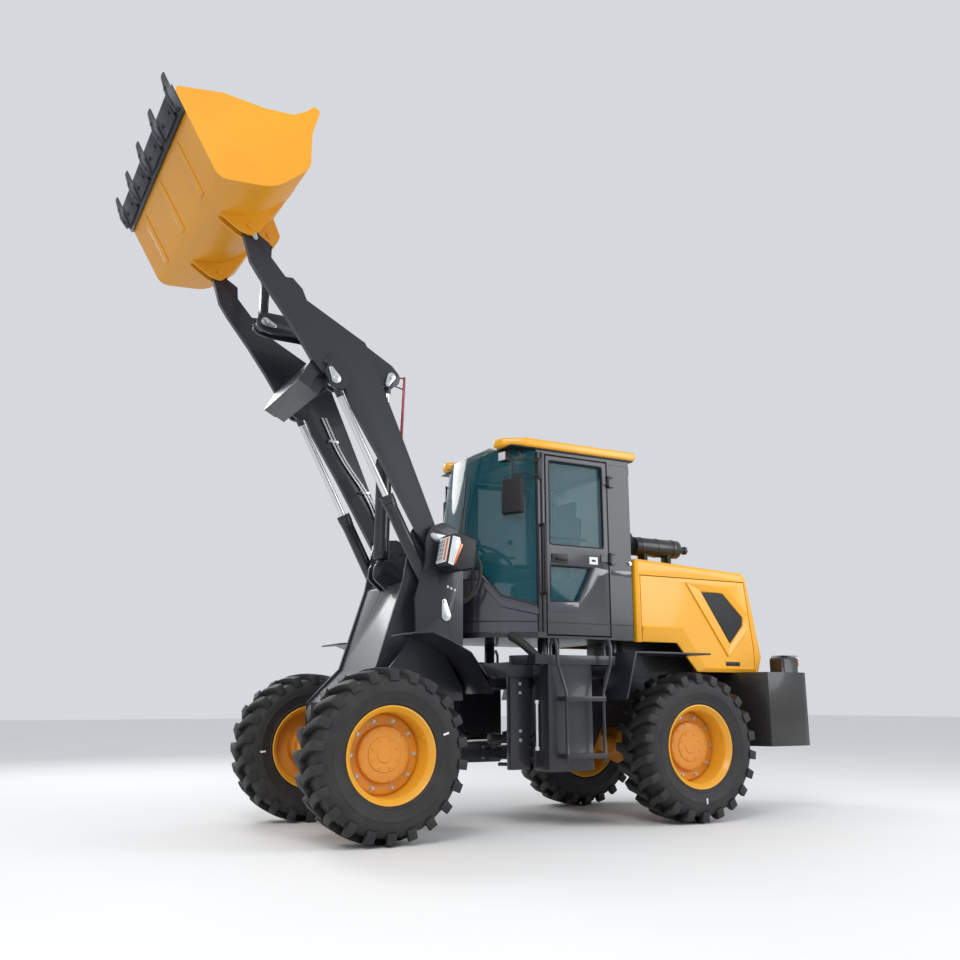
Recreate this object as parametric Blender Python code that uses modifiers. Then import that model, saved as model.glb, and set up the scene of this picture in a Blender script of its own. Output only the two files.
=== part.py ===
"""Articulated wheel loader, in metres. X runs forward from the front axle and Z up from the ground.
The whole machine is then set with its origin under the centre of its box."""

import math

import bmesh
import bpy
from mathutils import Matrix, Vector

# Chassis
WHEELBASE = 2.717
TRACK = 1.636
PIN_GAP = 0.0004          # round a pin in its bore
SEAT_GAP = 0.0003         # between pieces that touch
PLATE = 0.025

# Wheels
TYRE_RADIUS = 0.595
TYRE_WIDTH = 0.41
RIM_RADIUS = 0.312
RIM_WIDTH = 0.356
RIM_FLANGE = 0.021
HUB_RADIUS = 0.193
HUB_RECESS = 0.13
HUB_DEPTH = 0.16

# Front frame, side by side with the boom's arms
TOWER_INNER = 0.40        # outer face of the inner plates
TOWER_OUTER = 0.547       # outer face of the outer plates
TOWER_REAR = -0.775
FRAME_BOTTOM = 0.50
BOOM_PIVOT = (-0.590, 2.185)
LIFT_BASE = (-0.626, 1.599)
TILT_BASE = (-0.301, 1.981)

# Boom, raised
ARM_OUTER = 0.49
ARM_THICKNESS = 0.05
LIFT_EYE = (0.319, 3.376)
ROCKER_PIVOT = (0.150, 3.850)
CROSS_TUBE = (0.465, 3.385)
CROSS_SIDE = 0.19
PIN_RADIUS = 0.030

# Rocker and link
ROCKER_TOP = (-0.332, 3.629)
ROCKER_FOOT = (0.767, 3.915)
ROCKER_SLOT = 0.037       # half the gap between its two plates
ROCKER_PLATE = 0.03
LINK_TOP = (0.758, 4.672)
LINK_HALF = 0.030

# Bucket, rolled back
BUCKET_HINGE = (1.030, 4.480)
BUCKET_WIDTH = 2.04
BUCKET_SKIN = 0.02
LUG_CLEAR = 0.008         # beside an arm or the link
LUG_PLATE = 0.02

# Cylinders
LIFT_BORE = 0.050
LIFT_BARREL = 1.035
LIFT_REACH = 1.035
LIFT_ROD = 0.026
LIFT_EYE_HALF = 0.030
TILT_BORE = 0.064
TILT_BARREL = 0.94
TILT_REACH = 0.86
TILT_ROD = 0.026
STEER_BORE = 0.036
STEER_ROD = 0.018
STEER_HEIGHT = 0.66
STEER_BASE = 0.262        # behind the articulation, at the rear frame
STEER_EYE = 0.4985        # ahead of the articulation, at the front frame
STEER_SIDE_REAR = 0.24
STEER_SIDE_FRONT = 0.26
STEER_BARREL = 0.45
STEER_REACH = 0.47         # of the rod, back from its eye

# Rear frame
RAIL_OUTER = 0.33
RAIL_BOTTOM = 0.74
RAIL_TOP = 1.15
REAR_END = -3.45
ARTIC_RADIUS = 0.11
ARTIC_PIN = 0.030

# Cab
CAB_HALF = 0.63
CAB_WALL = 0.045
CAB_BOTTOM = 1.45
CAB_TOP = 3.015
CAB_NOSE = -0.90
CAB_PILLAR = -1.41        # front face of the door pillar
CAB_REAR = -2.36
DOOR_FRONT = -1.492
DOOR_REAR = -2.13
DOOR_SILL = 1.47
DOOR_HEAD = 2.975
ROOF_THICKNESS = 0.075
ROOF_REAR = -2.43

# Hood and what stands behind
HOOD_HALF = 0.62
HOOD_SKIN = 0.02
HOOD_FRONT = -2.40
HOOD_TOP = 2.165
HOOD_REAR = -3.66
HOOD_TAIL = -3.82
HOOD_HINGE = 2.02
WEIGHT_HALF = 0.90
WEIGHT_FRONT = -3.45
WEIGHT_REAR = -4.10
WEIGHT_TOP = 1.205
WEIGHT_BOTTOM = 0.575

# Tanks, decks and steps
TANK_INNER = 0.60
TANK_OUTER = 0.85
TANK_FRONT = -1.365
TANK_REAR = -1.775
TANK_BOTTOM = 0.43
DECK_TOP = 1.305
DECK_DEPTH = 0.07
DECK_FRONT = -1.155
STEP_OUT = 0.95

PIVOT_X = -WHEELBASE / 2
CAB_FLOOR = CAB_BOTTOM + 0.04
DOOR_HINGE = (DOOR_REAR, CAB_HALF + 0.018)
DOOR_HINGES = (2.13, 2.80)
HINGE_PIN = 0.006
HOOD_FOOT = WEIGHT_TOP + SEAT_GAP
REAR_AXLE = -WHEELBASE
WHEEL_STEPS = 16
BARREL_STEPS = 12
ROUND = 16


def clear_scene():
    for obj in list(bpy.data.objects):
        bpy.data.objects.remove(obj, do_unlink=True)


def new_collection(name, hidden=False):
    made = bpy.data.collections.new(name)
    made.hide_render = hidden
    bpy.context.scene.collection.children.link(made)
    return made


def paint(name, color, roughness, metallic=0.0, alpha=1.0):
    made = bpy.data.materials.new(name)
    made.use_nodes = True
    shader = made.node_tree.nodes["Principled BSDF"]
    shader.inputs["Base Color"].default_value = (*color, 1.0)
    shader.inputs["Roughness"].default_value = roughness
    shader.inputs["Metallic"].default_value = metallic
    shader.inputs["Alpha"].default_value = alpha
    return made


# ---- solids, each a mesh object in machine coordinates until it is finished ----


def as_object(mesh_data, name="shape"):
    obj = bpy.data.objects.new(name, mesh_data)
    shapes.objects.link(obj)
    return obj


def from_bmesh(bm):
    bmesh.ops.recalc_face_normals(bm, faces=bm.faces)
    data = bpy.data.meshes.new("shape")
    bm.to_mesh(data)
    bm.free()
    return as_object(data)


def baked(obj):
    """The object's evaluated mesh as a new plain object, with the old one removed."""
    bpy.context.view_layer.update()
    graph = bpy.context.evaluated_depsgraph_get()
    data = bpy.data.meshes.new_from_object(obj.evaluated_get(graph))
    data.transform(obj.matrix_world)
    bm = bmesh.new()
    bm.from_mesh(data)
    bmesh.ops.remove_doubles(bm, verts=bm.verts, dist=0.00002)
    bmesh.ops.recalc_face_normals(bm, faces=bm.faces)
    bm.to_mesh(data)
    bm.free()
    bpy.data.objects.remove(obj, do_unlink=True)
    return as_object(data)


def block(low, high):
    """A box between two corners."""
    bm = bmesh.new()
    bmesh.ops.create_cube(bm, size=1.0)
    size = [high[i] - low[i] for i in range(3)]
    centre = [(high[i] + low[i]) / 2 for i in range(3)]
    bmesh.ops.scale(bm, vec=size, verts=bm.verts)
    bmesh.ops.translate(bm, vec=centre, verts=bm.verts)
    return from_bmesh(bm)


def bevelled(obj, width, segments=2, angle=30.0):
    modifier = obj.modifiers.new("edges", "BEVEL")
    modifier.width = width
    modifier.segments = segments
    modifier.limit_method = "ANGLE"
    modifier.angle_limit = math.radians(angle)
    return baked(obj)


def rod(start, end, radius, steps=ROUND, end_radius=None):
    """A round bar between two points."""
    start, end = Vector(start), Vector(end)
    bm = bmesh.new()
    bmesh.ops.create_cone(
        bm, cap_ends=True, segments=steps, radius1=radius,
        radius2=radius if end_radius is None else end_radius, depth=(end - start).length)
    turn = (end - start).to_track_quat("Z", "Y").to_matrix().to_4x4()
    bmesh.ops.transform(bm, matrix=Matrix.Translation((start + end) / 2) @ turn, verts=bm.verts)
    return from_bmesh(bm)


def bore(centre, radius, low, high, steps=ROUND):
    """A bar along Y at a point (x, z), between two Y values."""
    return rod((centre[0], low, centre[1]), (centre[0], high, centre[1]), radius, steps)


def bore_radius(pin_radius, steps=ROUND):
    return (pin_radius + PIN_GAP) / math.cos(math.pi / steps)


def rounded(points, steps=2):
    """Outline points from corners (x, z) or (x, z, radius), with each radius turned into an arc."""
    made = []
    count = len(points)
    for i, point in enumerate(points):
        here = Vector(point[:2])
        radius = point[2] if len(point) > 2 else 0
        if not radius:
            made.append(here)
            continue
        before = (Vector(points[i - 1][:2]) - here).normalized()
        after = (Vector(points[(i + 1) % count][:2]) - here).normalized()
        half = before.angle(after) / 2
        reach = radius / math.tan(half)
        centre = here + (before + after).normalized() * (radius / math.sin(half))
        first = here + before * reach - centre
        last = here + after * reach - centre
        sweep = first.angle_signed(last)
        for step in range(steps + 1):
            turn = Matrix.Rotation(-sweep * step / steps, 2)
            made.append(centre + turn @ first)
    return made


def flat(outline, thickness, plane="XZ", offset=0.0):
    """A flat piece: its outline as a filled 2D curve, extruded by half its thickness each way."""
    curve = bpy.data.curves.new("outline", "CURVE")
    curve.dimensions = "2D"
    curve.fill_mode = "BOTH"
    curve.extrude = thickness / 2
    spline = curve.splines.new("POLY")
    spline.points.add(len(outline) - 1)
    for point, place in zip(spline.points, outline):
        point.co = (place[0], place[1], 0, 1)
    spline.use_cyclic_u = True
    obj = bpy.data.objects.new("outline", curve)
    shapes.objects.link(obj)
    if plane == "XZ":
        obj.matrix_world = Matrix.Translation((0, offset, 0)) @ Matrix.Rotation(math.pi / 2, 4, "X")
    elif plane == "XY":
        obj.matrix_world = Matrix.Translation((0, 0, offset))
    else:
        turn = Matrix.Rotation(math.pi / 2, 4, "Z") @ Matrix.Rotation(math.pi / 2, 4, "X")
        obj.matrix_world = Matrix.Translation((offset, 0, 0)) @ turn
    return baked(obj)


def plate(outline, low, high):
    """An outline in XZ made solid between two Y values."""
    return flat(outline, high - low, "XZ", (low + high) / 2)


def slab(outline, low, high):
    """An outline in XY made solid between two heights."""
    return flat(outline, high - low, "XY", (low + high) / 2)


def tube(points, radius, resolution=2):
    """A bent tube or rail along a POLY curve with filled caps."""
    curve = bpy.data.curves.new("tube", "CURVE")
    curve.dimensions = "3D"
    curve.bevel_depth = radius
    curve.bevel_resolution = resolution
    curve.use_fill_caps = True
    spline = curve.splines.new("POLY")
    spline.points.add(len(points) - 1)
    for point, place in zip(spline.points, points):
        point.co = (*place, 1)
    obj = bpy.data.objects.new("tube", curve)
    shapes.objects.link(obj)
    return baked(obj)


def turned(profile, steps, closed=False):
    """A profile of (radius, y) turned round the Y axis."""
    data = bpy.data.meshes.new("profile")
    count = len(profile)
    edges = [(i, i + 1) for i in range(count - 1)]
    if closed:
        edges.append((count - 1, 0))
    data.from_pydata([(r, y, 0) for r, y in profile], edges, [])
    obj = as_object(data)
    screw = obj.modifiers.new("turn", "SCREW")
    screw.axis = "Y"
    screw.steps = steps
    screw.render_steps = steps
    screw.use_merge_vertices = True
    screw.merge_threshold = 0.00005
    return baked(obj)


def moved(obj, offset):
    obj.data.transform(Matrix.Translation(offset))
    return obj


def mirrored(obj):
    """The same solid on the other side of the machine, as a new object."""
    data = obj.data.copy()
    data.transform(Matrix.Scale(-1, 4, (0, 1, 0)))
    data.flip_normals()
    return as_object(data)


def both(obj):
    return [obj, mirrored(obj)]


def fused(pieces, cuts=()):
    """One solid out of pieces that overlap, less the cuts."""
    base, *others = pieces
    for other in others:
        modifier = base.modifiers.new("join", "BOOLEAN")
        modifier.operation = "UNION"
        modifier.solver = "EXACT"
        modifier.object = other
    for cut in cuts:
        modifier = base.modifiers.new("cut", "BOOLEAN")
        modifier.operation = "DIFFERENCE"
        modifier.solver = "EXACT"
        modifier.object = cut
    made = baked(base)
    for other in [*others, *cuts]:
        bpy.data.objects.remove(other, do_unlink=True)
    return made


# ---- bodies ----


def joint(name, place, parent):
    """An empty on a joint's axis, which carries the body that moves there."""
    empty = bpy.data.objects.new(name, None)
    empty.empty_display_size = 0.1
    guides.objects.link(empty)
    empty.parent = parent
    base = places[parent.name] if parent else Vector((0, 0, 0))
    places[name] = Vector(place)
    empty.location = Vector(place) - base
    return empty


def finish(name, obj, material, body):
    """Names a solid, hands it to its body and sets its origin on the body's joint."""
    obj.name = name
    obj.data.name = name
    obj.data.transform(Matrix.Translation(-places[body.name]))
    obj.data.materials.clear()
    obj.data.materials.append(material)
    obj.data.shade_smooth()
    obj.data.set_sharp_from_angle(angle=math.radians(35))
    shapes.objects.unlink(obj)
    parts.objects.link(obj)
    obj.parent = body
    return obj


# ---- wheels ----


def make_wheel(name, body, side):
    bead = RIM_WIDTH / 2 - 0.018
    tread = TYRE_RADIUS
    half = TYRE_WIDTH / 2
    seat = RIM_RADIUS + SEAT_GAP * 2
    foot = bead - SEAT_GAP * 2
    flank = [(RIM_RADIUS + 0.03, foot), (RIM_RADIUS + 0.07, half * 0.95), (tread * 0.80, half)]
    shoulder = [(tread * 0.94, half * 0.95), (tread * 0.99, half * 0.78), (tread, half * 0.3)]
    outside = [(seat, foot)] + flank + shoulder
    section = outside + [(r, -y) for r, y in reversed(outside)]
    centre = places[body.name]
    finish(f"tyre_{name}", moved(turned(section, WHEEL_STEPS, True), centre), RUBBER, body)
    face = RIM_WIDTH / 2 - HUB_RECESS
    well = RIM_RADIUS - 0.024
    lip = RIM_RADIUS + RIM_FLANGE
    edge = RIM_WIDTH / 2
    neck = HUB_RADIUS - 0.03
    dish = [
        (0, face), (HUB_RADIUS, face), (HUB_RADIUS, face - 0.045), (well, face - 0.045), (well, edge),
        (lip, edge), (lip, bead), (RIM_RADIUS, bead), (RIM_RADIUS, -bead), (lip, -bead), (lip, -edge),
        (well, -edge), (well, face - 0.06), (neck, face - 0.06), (neck, face - HUB_DEPTH),
        (0, face - HUB_DEPTH),
    ]
    flipped = [(r, y * side) for r, y in dish]
    finish(f"rim_{name}", moved(turned(flipped, WHEEL_STEPS), centre), WHEEL_YELLOW, body)


def make_axle(name, x, body, pad_half, pad_top):
    """Housing with its differential and two hub ends, and the pads that carry the frame."""
    end = TRACK / 2 + RIM_WIDTH / 2 - HUB_RECESS - HUB_DEPTH - SEAT_GAP
    half = [
        (0.0, end), (0.13, end), (0.14, end - 0.02), (0.14, end - 0.10), (0.095, end - 0.13),
        (0.085, 0.30), (0.12, 0.20), (0.185, 0.10),
    ]
    profile = half + [(r, -y) for r, y in reversed(half)]
    housing = moved(turned(profile, 14), (x, 0, TYRE_RADIUS))
    pieces = [housing]
    for side in (1, -1):
        low, high = sorted((side * (pad_half - 0.07), side * (pad_half + 0.01)))
        pieces.append(block((x - 0.10, low, TYRE_RADIUS), (x + 0.10, high, pad_top)))
    nose = 0.26 if x < 0 else -0.26
    pieces.append(rod((x, 0, TYRE_RADIUS), (x + nose, 0, TYRE_RADIUS), 0.10, 12, 0.07))
    finish(name, fused(pieces), AXLE_YELLOW, body)


# ---- front frame ----


def make_front_frame(body):
    inner = rounded([
        (0.15, 0.74), (0.15, 0.95), (-0.115, 1.216), (-0.325, 1.863), (-0.40, 2.30, 0.05),
        (-0.73, 2.33, 0.13), (TOWER_REAR, 1.95), (TOWER_REAR, FRAME_BOTTOM), (-0.30, FRAME_BOTTOM),
        (-0.22, 0.74),
    ])
    outer = rounded([
        (-0.735, 2.325, 0.13), (-0.465, 2.325, 0.13), (-0.445, 2.0), (-0.365, 1.72), (-0.375, 1.46),
        (-0.12, 1.15), (-0.12, 0.96), (TOWER_REAR, 0.96), (TOWER_REAR, 2.0),
    ])
    pieces = [plate(inner, TOWER_INNER - PLATE, TOWER_INNER)]
    pieces.append(mirrored(pieces[0]))
    pieces += both(plate(outer, TOWER_OUTER - PLATE, TOWER_OUTER))
    pieces += both(block((-0.72, TOWER_INNER - 0.01, 0.96), (-0.12, TOWER_OUTER - 0.01, 1.0)))
    web_low = (TOWER_REAR, TOWER_INNER - 0.01, 0.97)
    web_high = (TOWER_REAR + 0.02, TOWER_OUTER - 0.01, 1.98)
    pieces += both(block(web_low, web_high))
    wide = TOWER_INNER - 0.01
    pieces.append(block((TOWER_REAR, -wide, FRAME_BOTTOM), (TOWER_REAR + PLATE, wide, 1.40)))
    pieces.append(block((-0.72, -wide, 1.79), (-0.33, wide, 1.815)))
    pieces.append(block((-0.20, -wide, 0.80), (0.15, wide, 0.825)))
    pieces.append(block((0.125, -wide, 0.80), (0.15, wide, 0.95)))
    cover = [(-0.127, 1.20), (0.138, 0.935), (0.138, 0.91), (-0.150, 1.20), (-0.365, 1.863), (-0.340, 1.863)]
    pieces.append(plate(cover, -wide, wide))
    # Lugs of the articulation, tapering to the pivot
    for low in (0.52, 1.08):
        lug = [
            (TOWER_REAR + 0.01, 0.36), (TOWER_REAR + 0.01, -0.36), (-0.84, -0.20),
            (PIVOT_X - ARTIC_RADIUS, -0.13, 0.10), (PIVOT_X - ARTIC_RADIUS, 0.13, 0.10), (-0.84, 0.20),
        ]
        pieces.append(slab(rounded(lug), low, low + 0.05))
    # Clevises for the steering rods
    eye_x = PIVOT_X + STEER_EYE
    for low in (STEER_HEIGHT - 0.047, STEER_HEIGHT + 0.027):
        ear = rounded([
            (TOWER_REAR + 0.01, STEER_SIDE_FRONT + 0.06), (TOWER_REAR + 0.01, STEER_SIDE_FRONT - 0.06),
            (eye_x - 0.04, STEER_SIDE_FRONT - 0.04, 0.03), (eye_x - 0.04, STEER_SIDE_FRONT + 0.04, 0.03),
        ])
        pieces += both(slab(ear, low, low + 0.02))
    # Lugs for the tilt cylinder, leaning forward of the cover
    lug = rounded([
        (-0.62, 1.80), (-0.36, 1.80), (-0.215, 1.92, 0.05), (-0.225, 2.055, 0.06), (-0.38, 2.06, 0.06),
    ])
    eye = 0.041
    pieces += both(plate(lug, eye, eye + PLATE))
    pieces.append(bore(TILT_BASE, PIN_RADIUS, -eye - PLATE - 0.01, eye + PLATE + 0.01))
    # Pins of the boom and the lift cylinders, through both plates
    for place in (BOOM_PIVOT, LIFT_BASE):
        pieces += both(bore(place, PIN_RADIUS, TOWER_INNER - PLATE - 0.008, TOWER_OUTER + 0.008))
    # Hole of the articulation pins
    hole = rod((PIVOT_X, 0, 0.4), (PIVOT_X, 0, 1.3), bore_radius(ARTIC_PIN))
    finish("front_frame", fused(pieces, [hole]), CHARCOAL, body)


def make_front_fender(name, body, side):
    top = [(-0.17, 1.436), (-0.30, 1.446), (-0.44, 1.395), (-0.62, 1.305), (-0.74, 1.15), (-0.80, 1.02)]
    inner = [(x - 0.004, z - 0.012) for x, z in top]
    strip = plate(top + inner[::-1], TOWER_OUTER + SEAT_GAP, 0.98)
    if side < 0:
        other = mirrored(strip)
        bpy.data.objects.remove(strip, do_unlink=True)
        strip = other
    finish(f"front_fender_{name}", strip, CHARCOAL, body)


def make_headlight(name, body, side):
    shell = [(-0.545, 2.20), (-0.50, 1.96), (-0.60, 1.915), (-0.76, 1.95), (-0.78, 2.17), (-0.66, 2.215)]
    housing = bevelled(plate(shell, 0.60, 0.80), 0.02, 1)
    arm = block((-0.70, TOWER_OUTER + SEAT_GAP, 1.94), (-0.62, 0.62, 2.00))
    made = fused([housing, arm])
    if side < 0:
        other = mirrored(made)
        bpy.data.objects.remove(made, do_unlink=True)
        made = other
    finish(f"headlight_{name}", made, DARK_PLASTIC, body)


# ---- boom, rocker, link and bucket ----


def make_boom(body):
    arm = rounded([
        (1.084, 4.43, 0.05), (1.084, 4.536, 0.05), (0.974, 4.536, 0.05), (0.974, 4.445, 0.02),
        (0.876, 4.385), (0.868, 4.285),
        (0.740, 4.139, 0.02), (0.684, 4.145, 0.02), (0.602, 4.069), (0.565, 3.984), (0.075, 3.722),
        (0.038, 3.658), (-0.139, 3.261), (-0.265, 2.978), (-0.572, 2.272), (-0.70, 2.20, 0.08),
        (-0.62, 2.07, 0.08), (-0.47, 2.14, 0.06), (-0.416, 2.232), (-0.053, 2.840), (0.014, 2.942),
        (0.232, 3.285), (0.30, 3.30, 0.03), (0.385, 3.37, 0.03), (0.420, 3.426), (0.502, 3.514),
        (0.597, 3.656), (0.750, 3.866), (0.940, 4.105), (1.018, 4.217),
    ], 3)
    inner = ARM_OUTER - ARM_THICKNESS
    pieces = both(plate(arm, inner, ARM_OUTER))
    tilt = math.radians(28)
    corner = CROSS_SIDE / 2
    box = block((-corner, -inner - 0.01, -corner), (corner, inner + 0.01, corner))
    box.data.transform(Matrix.Rotation(-tilt, 4, "Y"))
    pieces.append(moved(box, (CROSS_TUBE[0], 0, CROSS_TUBE[1])))
    x, z = ROCKER_PIVOT
    bracket = rounded([
        (0.50, 3.50), (0.54, 3.34), (0.40, 3.28), (0.16, 3.50, 0.1), (x - 0.08, z - 0.05, 0.06),
        (x - 0.02, z + 0.10, 0.06), (x + 0.11, z + 0.02, 0.06), (0.36, 3.60, 0.1),
    ])
    clear = ROCKER_SLOT + ROCKER_PLATE + LUG_CLEAR
    pieces += both(plate(bracket, clear, clear + PLATE))
    pieces.append(bore(ROCKER_PIVOT, PIN_RADIUS, -clear - PLATE - 0.008, clear + PLATE + 0.008))
    # Clevis plates for the lift rods, outside and inside the arm
    lug = rounded([
        (0.20, 3.50), (0.36, 3.56), (0.41, 3.42, 0.04), (0.345, 3.30, 0.06), (0.22, 3.30, 0.05),
    ])
    middle = ARM_OUTER - ARM_THICKNESS / 2
    gap = LIFT_EYE_HALF + 0.006
    pieces += both(plate(lug, middle + gap, middle + gap + 0.022))
    pieces += both(plate(lug, middle - gap - 0.022, middle - gap))
    web = rounded([(0.19, 3.52), (0.34, 3.60), (0.42, 3.50), (0.33, 3.47), (0.215, 3.40)])
    pieces += both(plate(web, middle - gap - 0.01, middle + gap + 0.01))
    slots = both(bore(LIFT_EYE, 0.068, middle - gap, middle + gap, 20))
    mouth = [
        (0.319, 3.36), (0.37, 3.43), (0.44, 3.41), (0.495, 3.33), (0.495, 3.24), (0.30, 3.05),
        (0.12, 3.08), (0.26, 3.39)]
    slots += both(plate(mouth, middle - gap, middle + gap))
    holes = both(bore(BOOM_PIVOT, bore_radius(PIN_RADIUS), inner - 0.02, ARM_OUTER + 0.02))
    holes += both(bore(BUCKET_HINGE, bore_radius(PIN_RADIUS), inner - 0.02, ARM_OUTER + 0.02))
    finish("boom", fused(pieces, slots + holes), CHARCOAL, body)


def make_rocker(body):
    (tx, tz), (rx, rz), (lx, lz) = ROCKER_TOP, ROCKER_PIVOT, ROCKER_FOOT
    outline = rounded([
        (tx - 0.085, tz + 0.02, 0.06), (tx - 0.01, tz + 0.10, 0.05), (rx - 0.05, rz + 0.13, 0.08),
        (rx + 0.12, rz + 0.14, 0.05), (lx + 0.04, lz + 0.085, 0.06), (lx + 0.085, lz - 0.05, 0.06),
        (lx - 0.06, lz - 0.085, 0.05), (rx + 0.25, rz - 0.02, 0.2), (rx + 0.02, rz - 0.13, 0.08),
        (tx + 0.06, tz - 0.10, 0.06), (tx - 0.08, tz - 0.06, 0.05),
    ])
    pieces = both(plate(outline, ROCKER_SLOT, ROCKER_SLOT + ROCKER_PLATE))
    reach = ROCKER_SLOT + ROCKER_PLATE
    pieces.append(bore(ROCKER_PIVOT, 0.062, -reach, reach, 18))
    for place in (ROCKER_TOP, ROCKER_FOOT):
        pieces += both(bore(place, PIN_RADIUS, ROCKER_SLOT + 0.005, reach + 0.01))
    hole = bore(ROCKER_PIVOT, bore_radius(PIN_RADIUS), -0.2, 0.2)
    finish("rocker", fused(pieces, [hole]), CHARCOAL, body)


def make_link(body):
    eye = 0.048
    pieces = [bore(ROCKER_FOOT, 0.058, -LINK_HALF, LINK_HALF), bore(LINK_TOP, eye, -LINK_HALF, LINK_HALF)]
    start, end = Vector(ROCKER_FOOT), Vector(LINK_TOP)
    side = (end - start).normalized().orthogonal() * 0.032
    bar = [start + side, start - side, end - side * 0.9, end + side * 0.9]
    pieces.append(plate(bar, -LINK_HALF, LINK_HALF))
    hole = bore(LINK_TOP, bore_radius(PIN_RADIUS), -0.1, 0.1)
    slack = bore(ROCKER_FOOT, bore_radius(PIN_RADIUS), -0.1, 0.1)
    finish("bucket_link", fused(pieces, [hole, slack]), CHARCOAL, body)


def bucket_outline():
    """The bucket's side from its lip, round the heel and up the back to the spill guard."""
    return rounded([
        (1.745, 5.108), (1.407, 4.529, 0.10), (1.002, 4.558, 0.30), (0.745, 4.785, 0.12),
        (0.745, 5.065, 0.10), (0.702, 5.225),
    ], 3)


def make_bucket(body):
    half = BUCKET_WIDTH / 2
    data = bpy.data.meshes.new("bucket")
    path = bucket_outline()
    rows = [(p[0], y, p[1]) for y in (-half + 0.01, half - 0.01) for p in path]
    count = len(path)
    faces = [(i, i + 1, count + i + 1, count + i) for i in range(count - 1)]
    data.from_pydata(rows, [], faces)
    sheet = as_object(data)
    solid = sheet.modifiers.new("skin", "SOLIDIFY")
    solid.thickness = BUCKET_SKIN
    solid.offset = -1
    solid.use_even_offset = True
    shell = baked(sheet)
    outline = path + [Vector(p) for p in (
        (0.690, 5.270), (0.737, 5.300), (0.802, 5.238), (0.892, 5.184), (1.102, 5.170),
        (1.417, 5.198), (1.735, 5.150))]
    pieces = [shell] + both(plate(outline, half - 0.03, half))
    arm_in = ARM_OUTER - ARM_THICKNESS - LUG_CLEAR
    arm_out = ARM_OUTER + LUG_CLEAR
    lug = rounded([
        (1.29, 4.56), (1.245, 4.510), (1.127, 4.435), (1.030, 4.400, 0.05), (0.955, 4.470),
        (0.700, 4.885, 0.02), (0.765, 4.97), (0.85, 4.80), (1.05, 4.60),
    ])
    pieces += both(plate(lug, arm_out, arm_out + LUG_PLATE))
    pieces += both(plate(lug, arm_in - LUG_PLATE, arm_in))
    pieces += both(bore(BUCKET_HINGE, PIN_RADIUS, arm_in - LUG_PLATE - 0.008, arm_out + LUG_PLATE + 0.008))
    x, z = LINK_TOP
    ear = rounded([
        (x + 0.10, z + 0.02), (x + 0.06, z - 0.07, 0.04), (x - 0.05, z - 0.085, 0.04),
        (x - 0.085, z + 0.01, 0.04), (x - 0.02, z + 0.16), (x + 0.05, z + 0.16),
    ])
    clear = LINK_HALF + LUG_CLEAR
    pieces += both(plate(ear, clear, clear + LUG_PLATE))
    pieces.append(bore(LINK_TOP, PIN_RADIUS, -clear - LUG_PLATE - 0.008, clear + LUG_PLATE + 0.008))
    finish("bucket", fused(pieces), BUCKET_YELLOW, body)


def make_cutting_edge(body):
    """The blade under the lip with its teeth, one solid."""
    half = BUCKET_WIDTH / 2
    lip, heel = Vector((1.745, 5.108)), Vector((1.407, 4.529))
    out = (lip - heel).normalized()
    down = Vector((out.y, -out.x))
    base = lip + down * (SEAT_GAP * 2)
    blade = [
        base - out * 0.16, base + out * 0.05,
        base + out * 0.035 + down * 0.022, base - out * 0.16 + down * 0.022]
    pieces = [plate(blade, -half, half)]
    tooth = [
        base - out * 0.12 + down * 0.015, base + out * 0.02 + down * 0.015, base + out * 0.145 + down * 0.012,
        base + out * 0.145 + down * 0.024, base - out * 0.02 + down * 0.062, base - out * 0.12 + down * 0.05,
    ]
    width = 0.07
    for number in range(5):
        y = -half + width / 2 + number * (BUCKET_WIDTH - width) / 4
        inset = 0.0015 if number in (0, 4) else 0
        pieces.append(plate(tooth, y - width / 2 + inset, y + width / 2 - inset))
    finish("cutting_edge", fused(pieces), DARK_STEEL, body)


# ---- cylinders: a barrel that is open at its gland, and the rod that slides in it ----


def make_cylinder(base, tip, width, bore_r, rod_r, barrel, reach, pin):
    """Barrel and rod along +Y from the barrel's pin, which lies along Z."""
    length = (Vector(tip) - Vector(base)).length
    foot, shoulder = pin + 0.075, 0.10
    wall = 0.010
    slide = rod_r + PIN_GAP
    profile = [
        (0, foot), (bore_r * 0.8, foot), (bore_r, foot + 0.02), (bore_r, barrel - shoulder),
        (bore_r * 1.14, barrel - shoulder), (bore_r * 1.14, barrel), (slide, barrel), (slide, barrel - 0.03),
        (bore_r - wall, barrel - 0.03), (bore_r - wall, foot + 0.04), (0, foot + 0.04),
    ]
    tube_piece = turned(profile, BARREL_STEPS)
    eye = rod((0, 0, -width / 2), (0, 0, width / 2), pin + 0.024)
    neck = block((-0.03, 0.0, -width / 2 + 0.004), (0.03, foot + 0.01, width / 2 - 0.004))
    hole = rod((0, 0, -1), (0, 0, 1), bore_radius(pin))
    barrel_piece = fused([tube_piece, eye, neck], [hole])
    bar = rod((0, length - reach, 0), (0, length - 0.02, 0), rod_r, BARREL_STEPS)
    collar = rod((0, length - 0.15, 0), (0, length - 0.03, 0), rod_r * 1.15, BARREL_STEPS)
    rod_eye = rod((0, length, -width / 2 + 0.004), (0, length, width / 2 - 0.004), pin + 0.02)
    rod_piece = fused([bar, collar, rod_eye])
    return barrel_piece, rod_piece


def lay(obj, base, tip, y):
    """Turns a cylinder built along +Y to run from base to tip in the XZ plane at y."""
    way = (Vector(tip) - Vector(base)).normalized()
    turn = Matrix(((way.y, way.x, 0, base[0]), (0, 0, 1, y), (-way.x, way.y, 0, base[1]), (0, 0, 0, 1)))
    obj.data.transform(turn)
    if turn.to_3x3().determinant() < 0:
        obj.data.flip_normals()
    return obj


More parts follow.
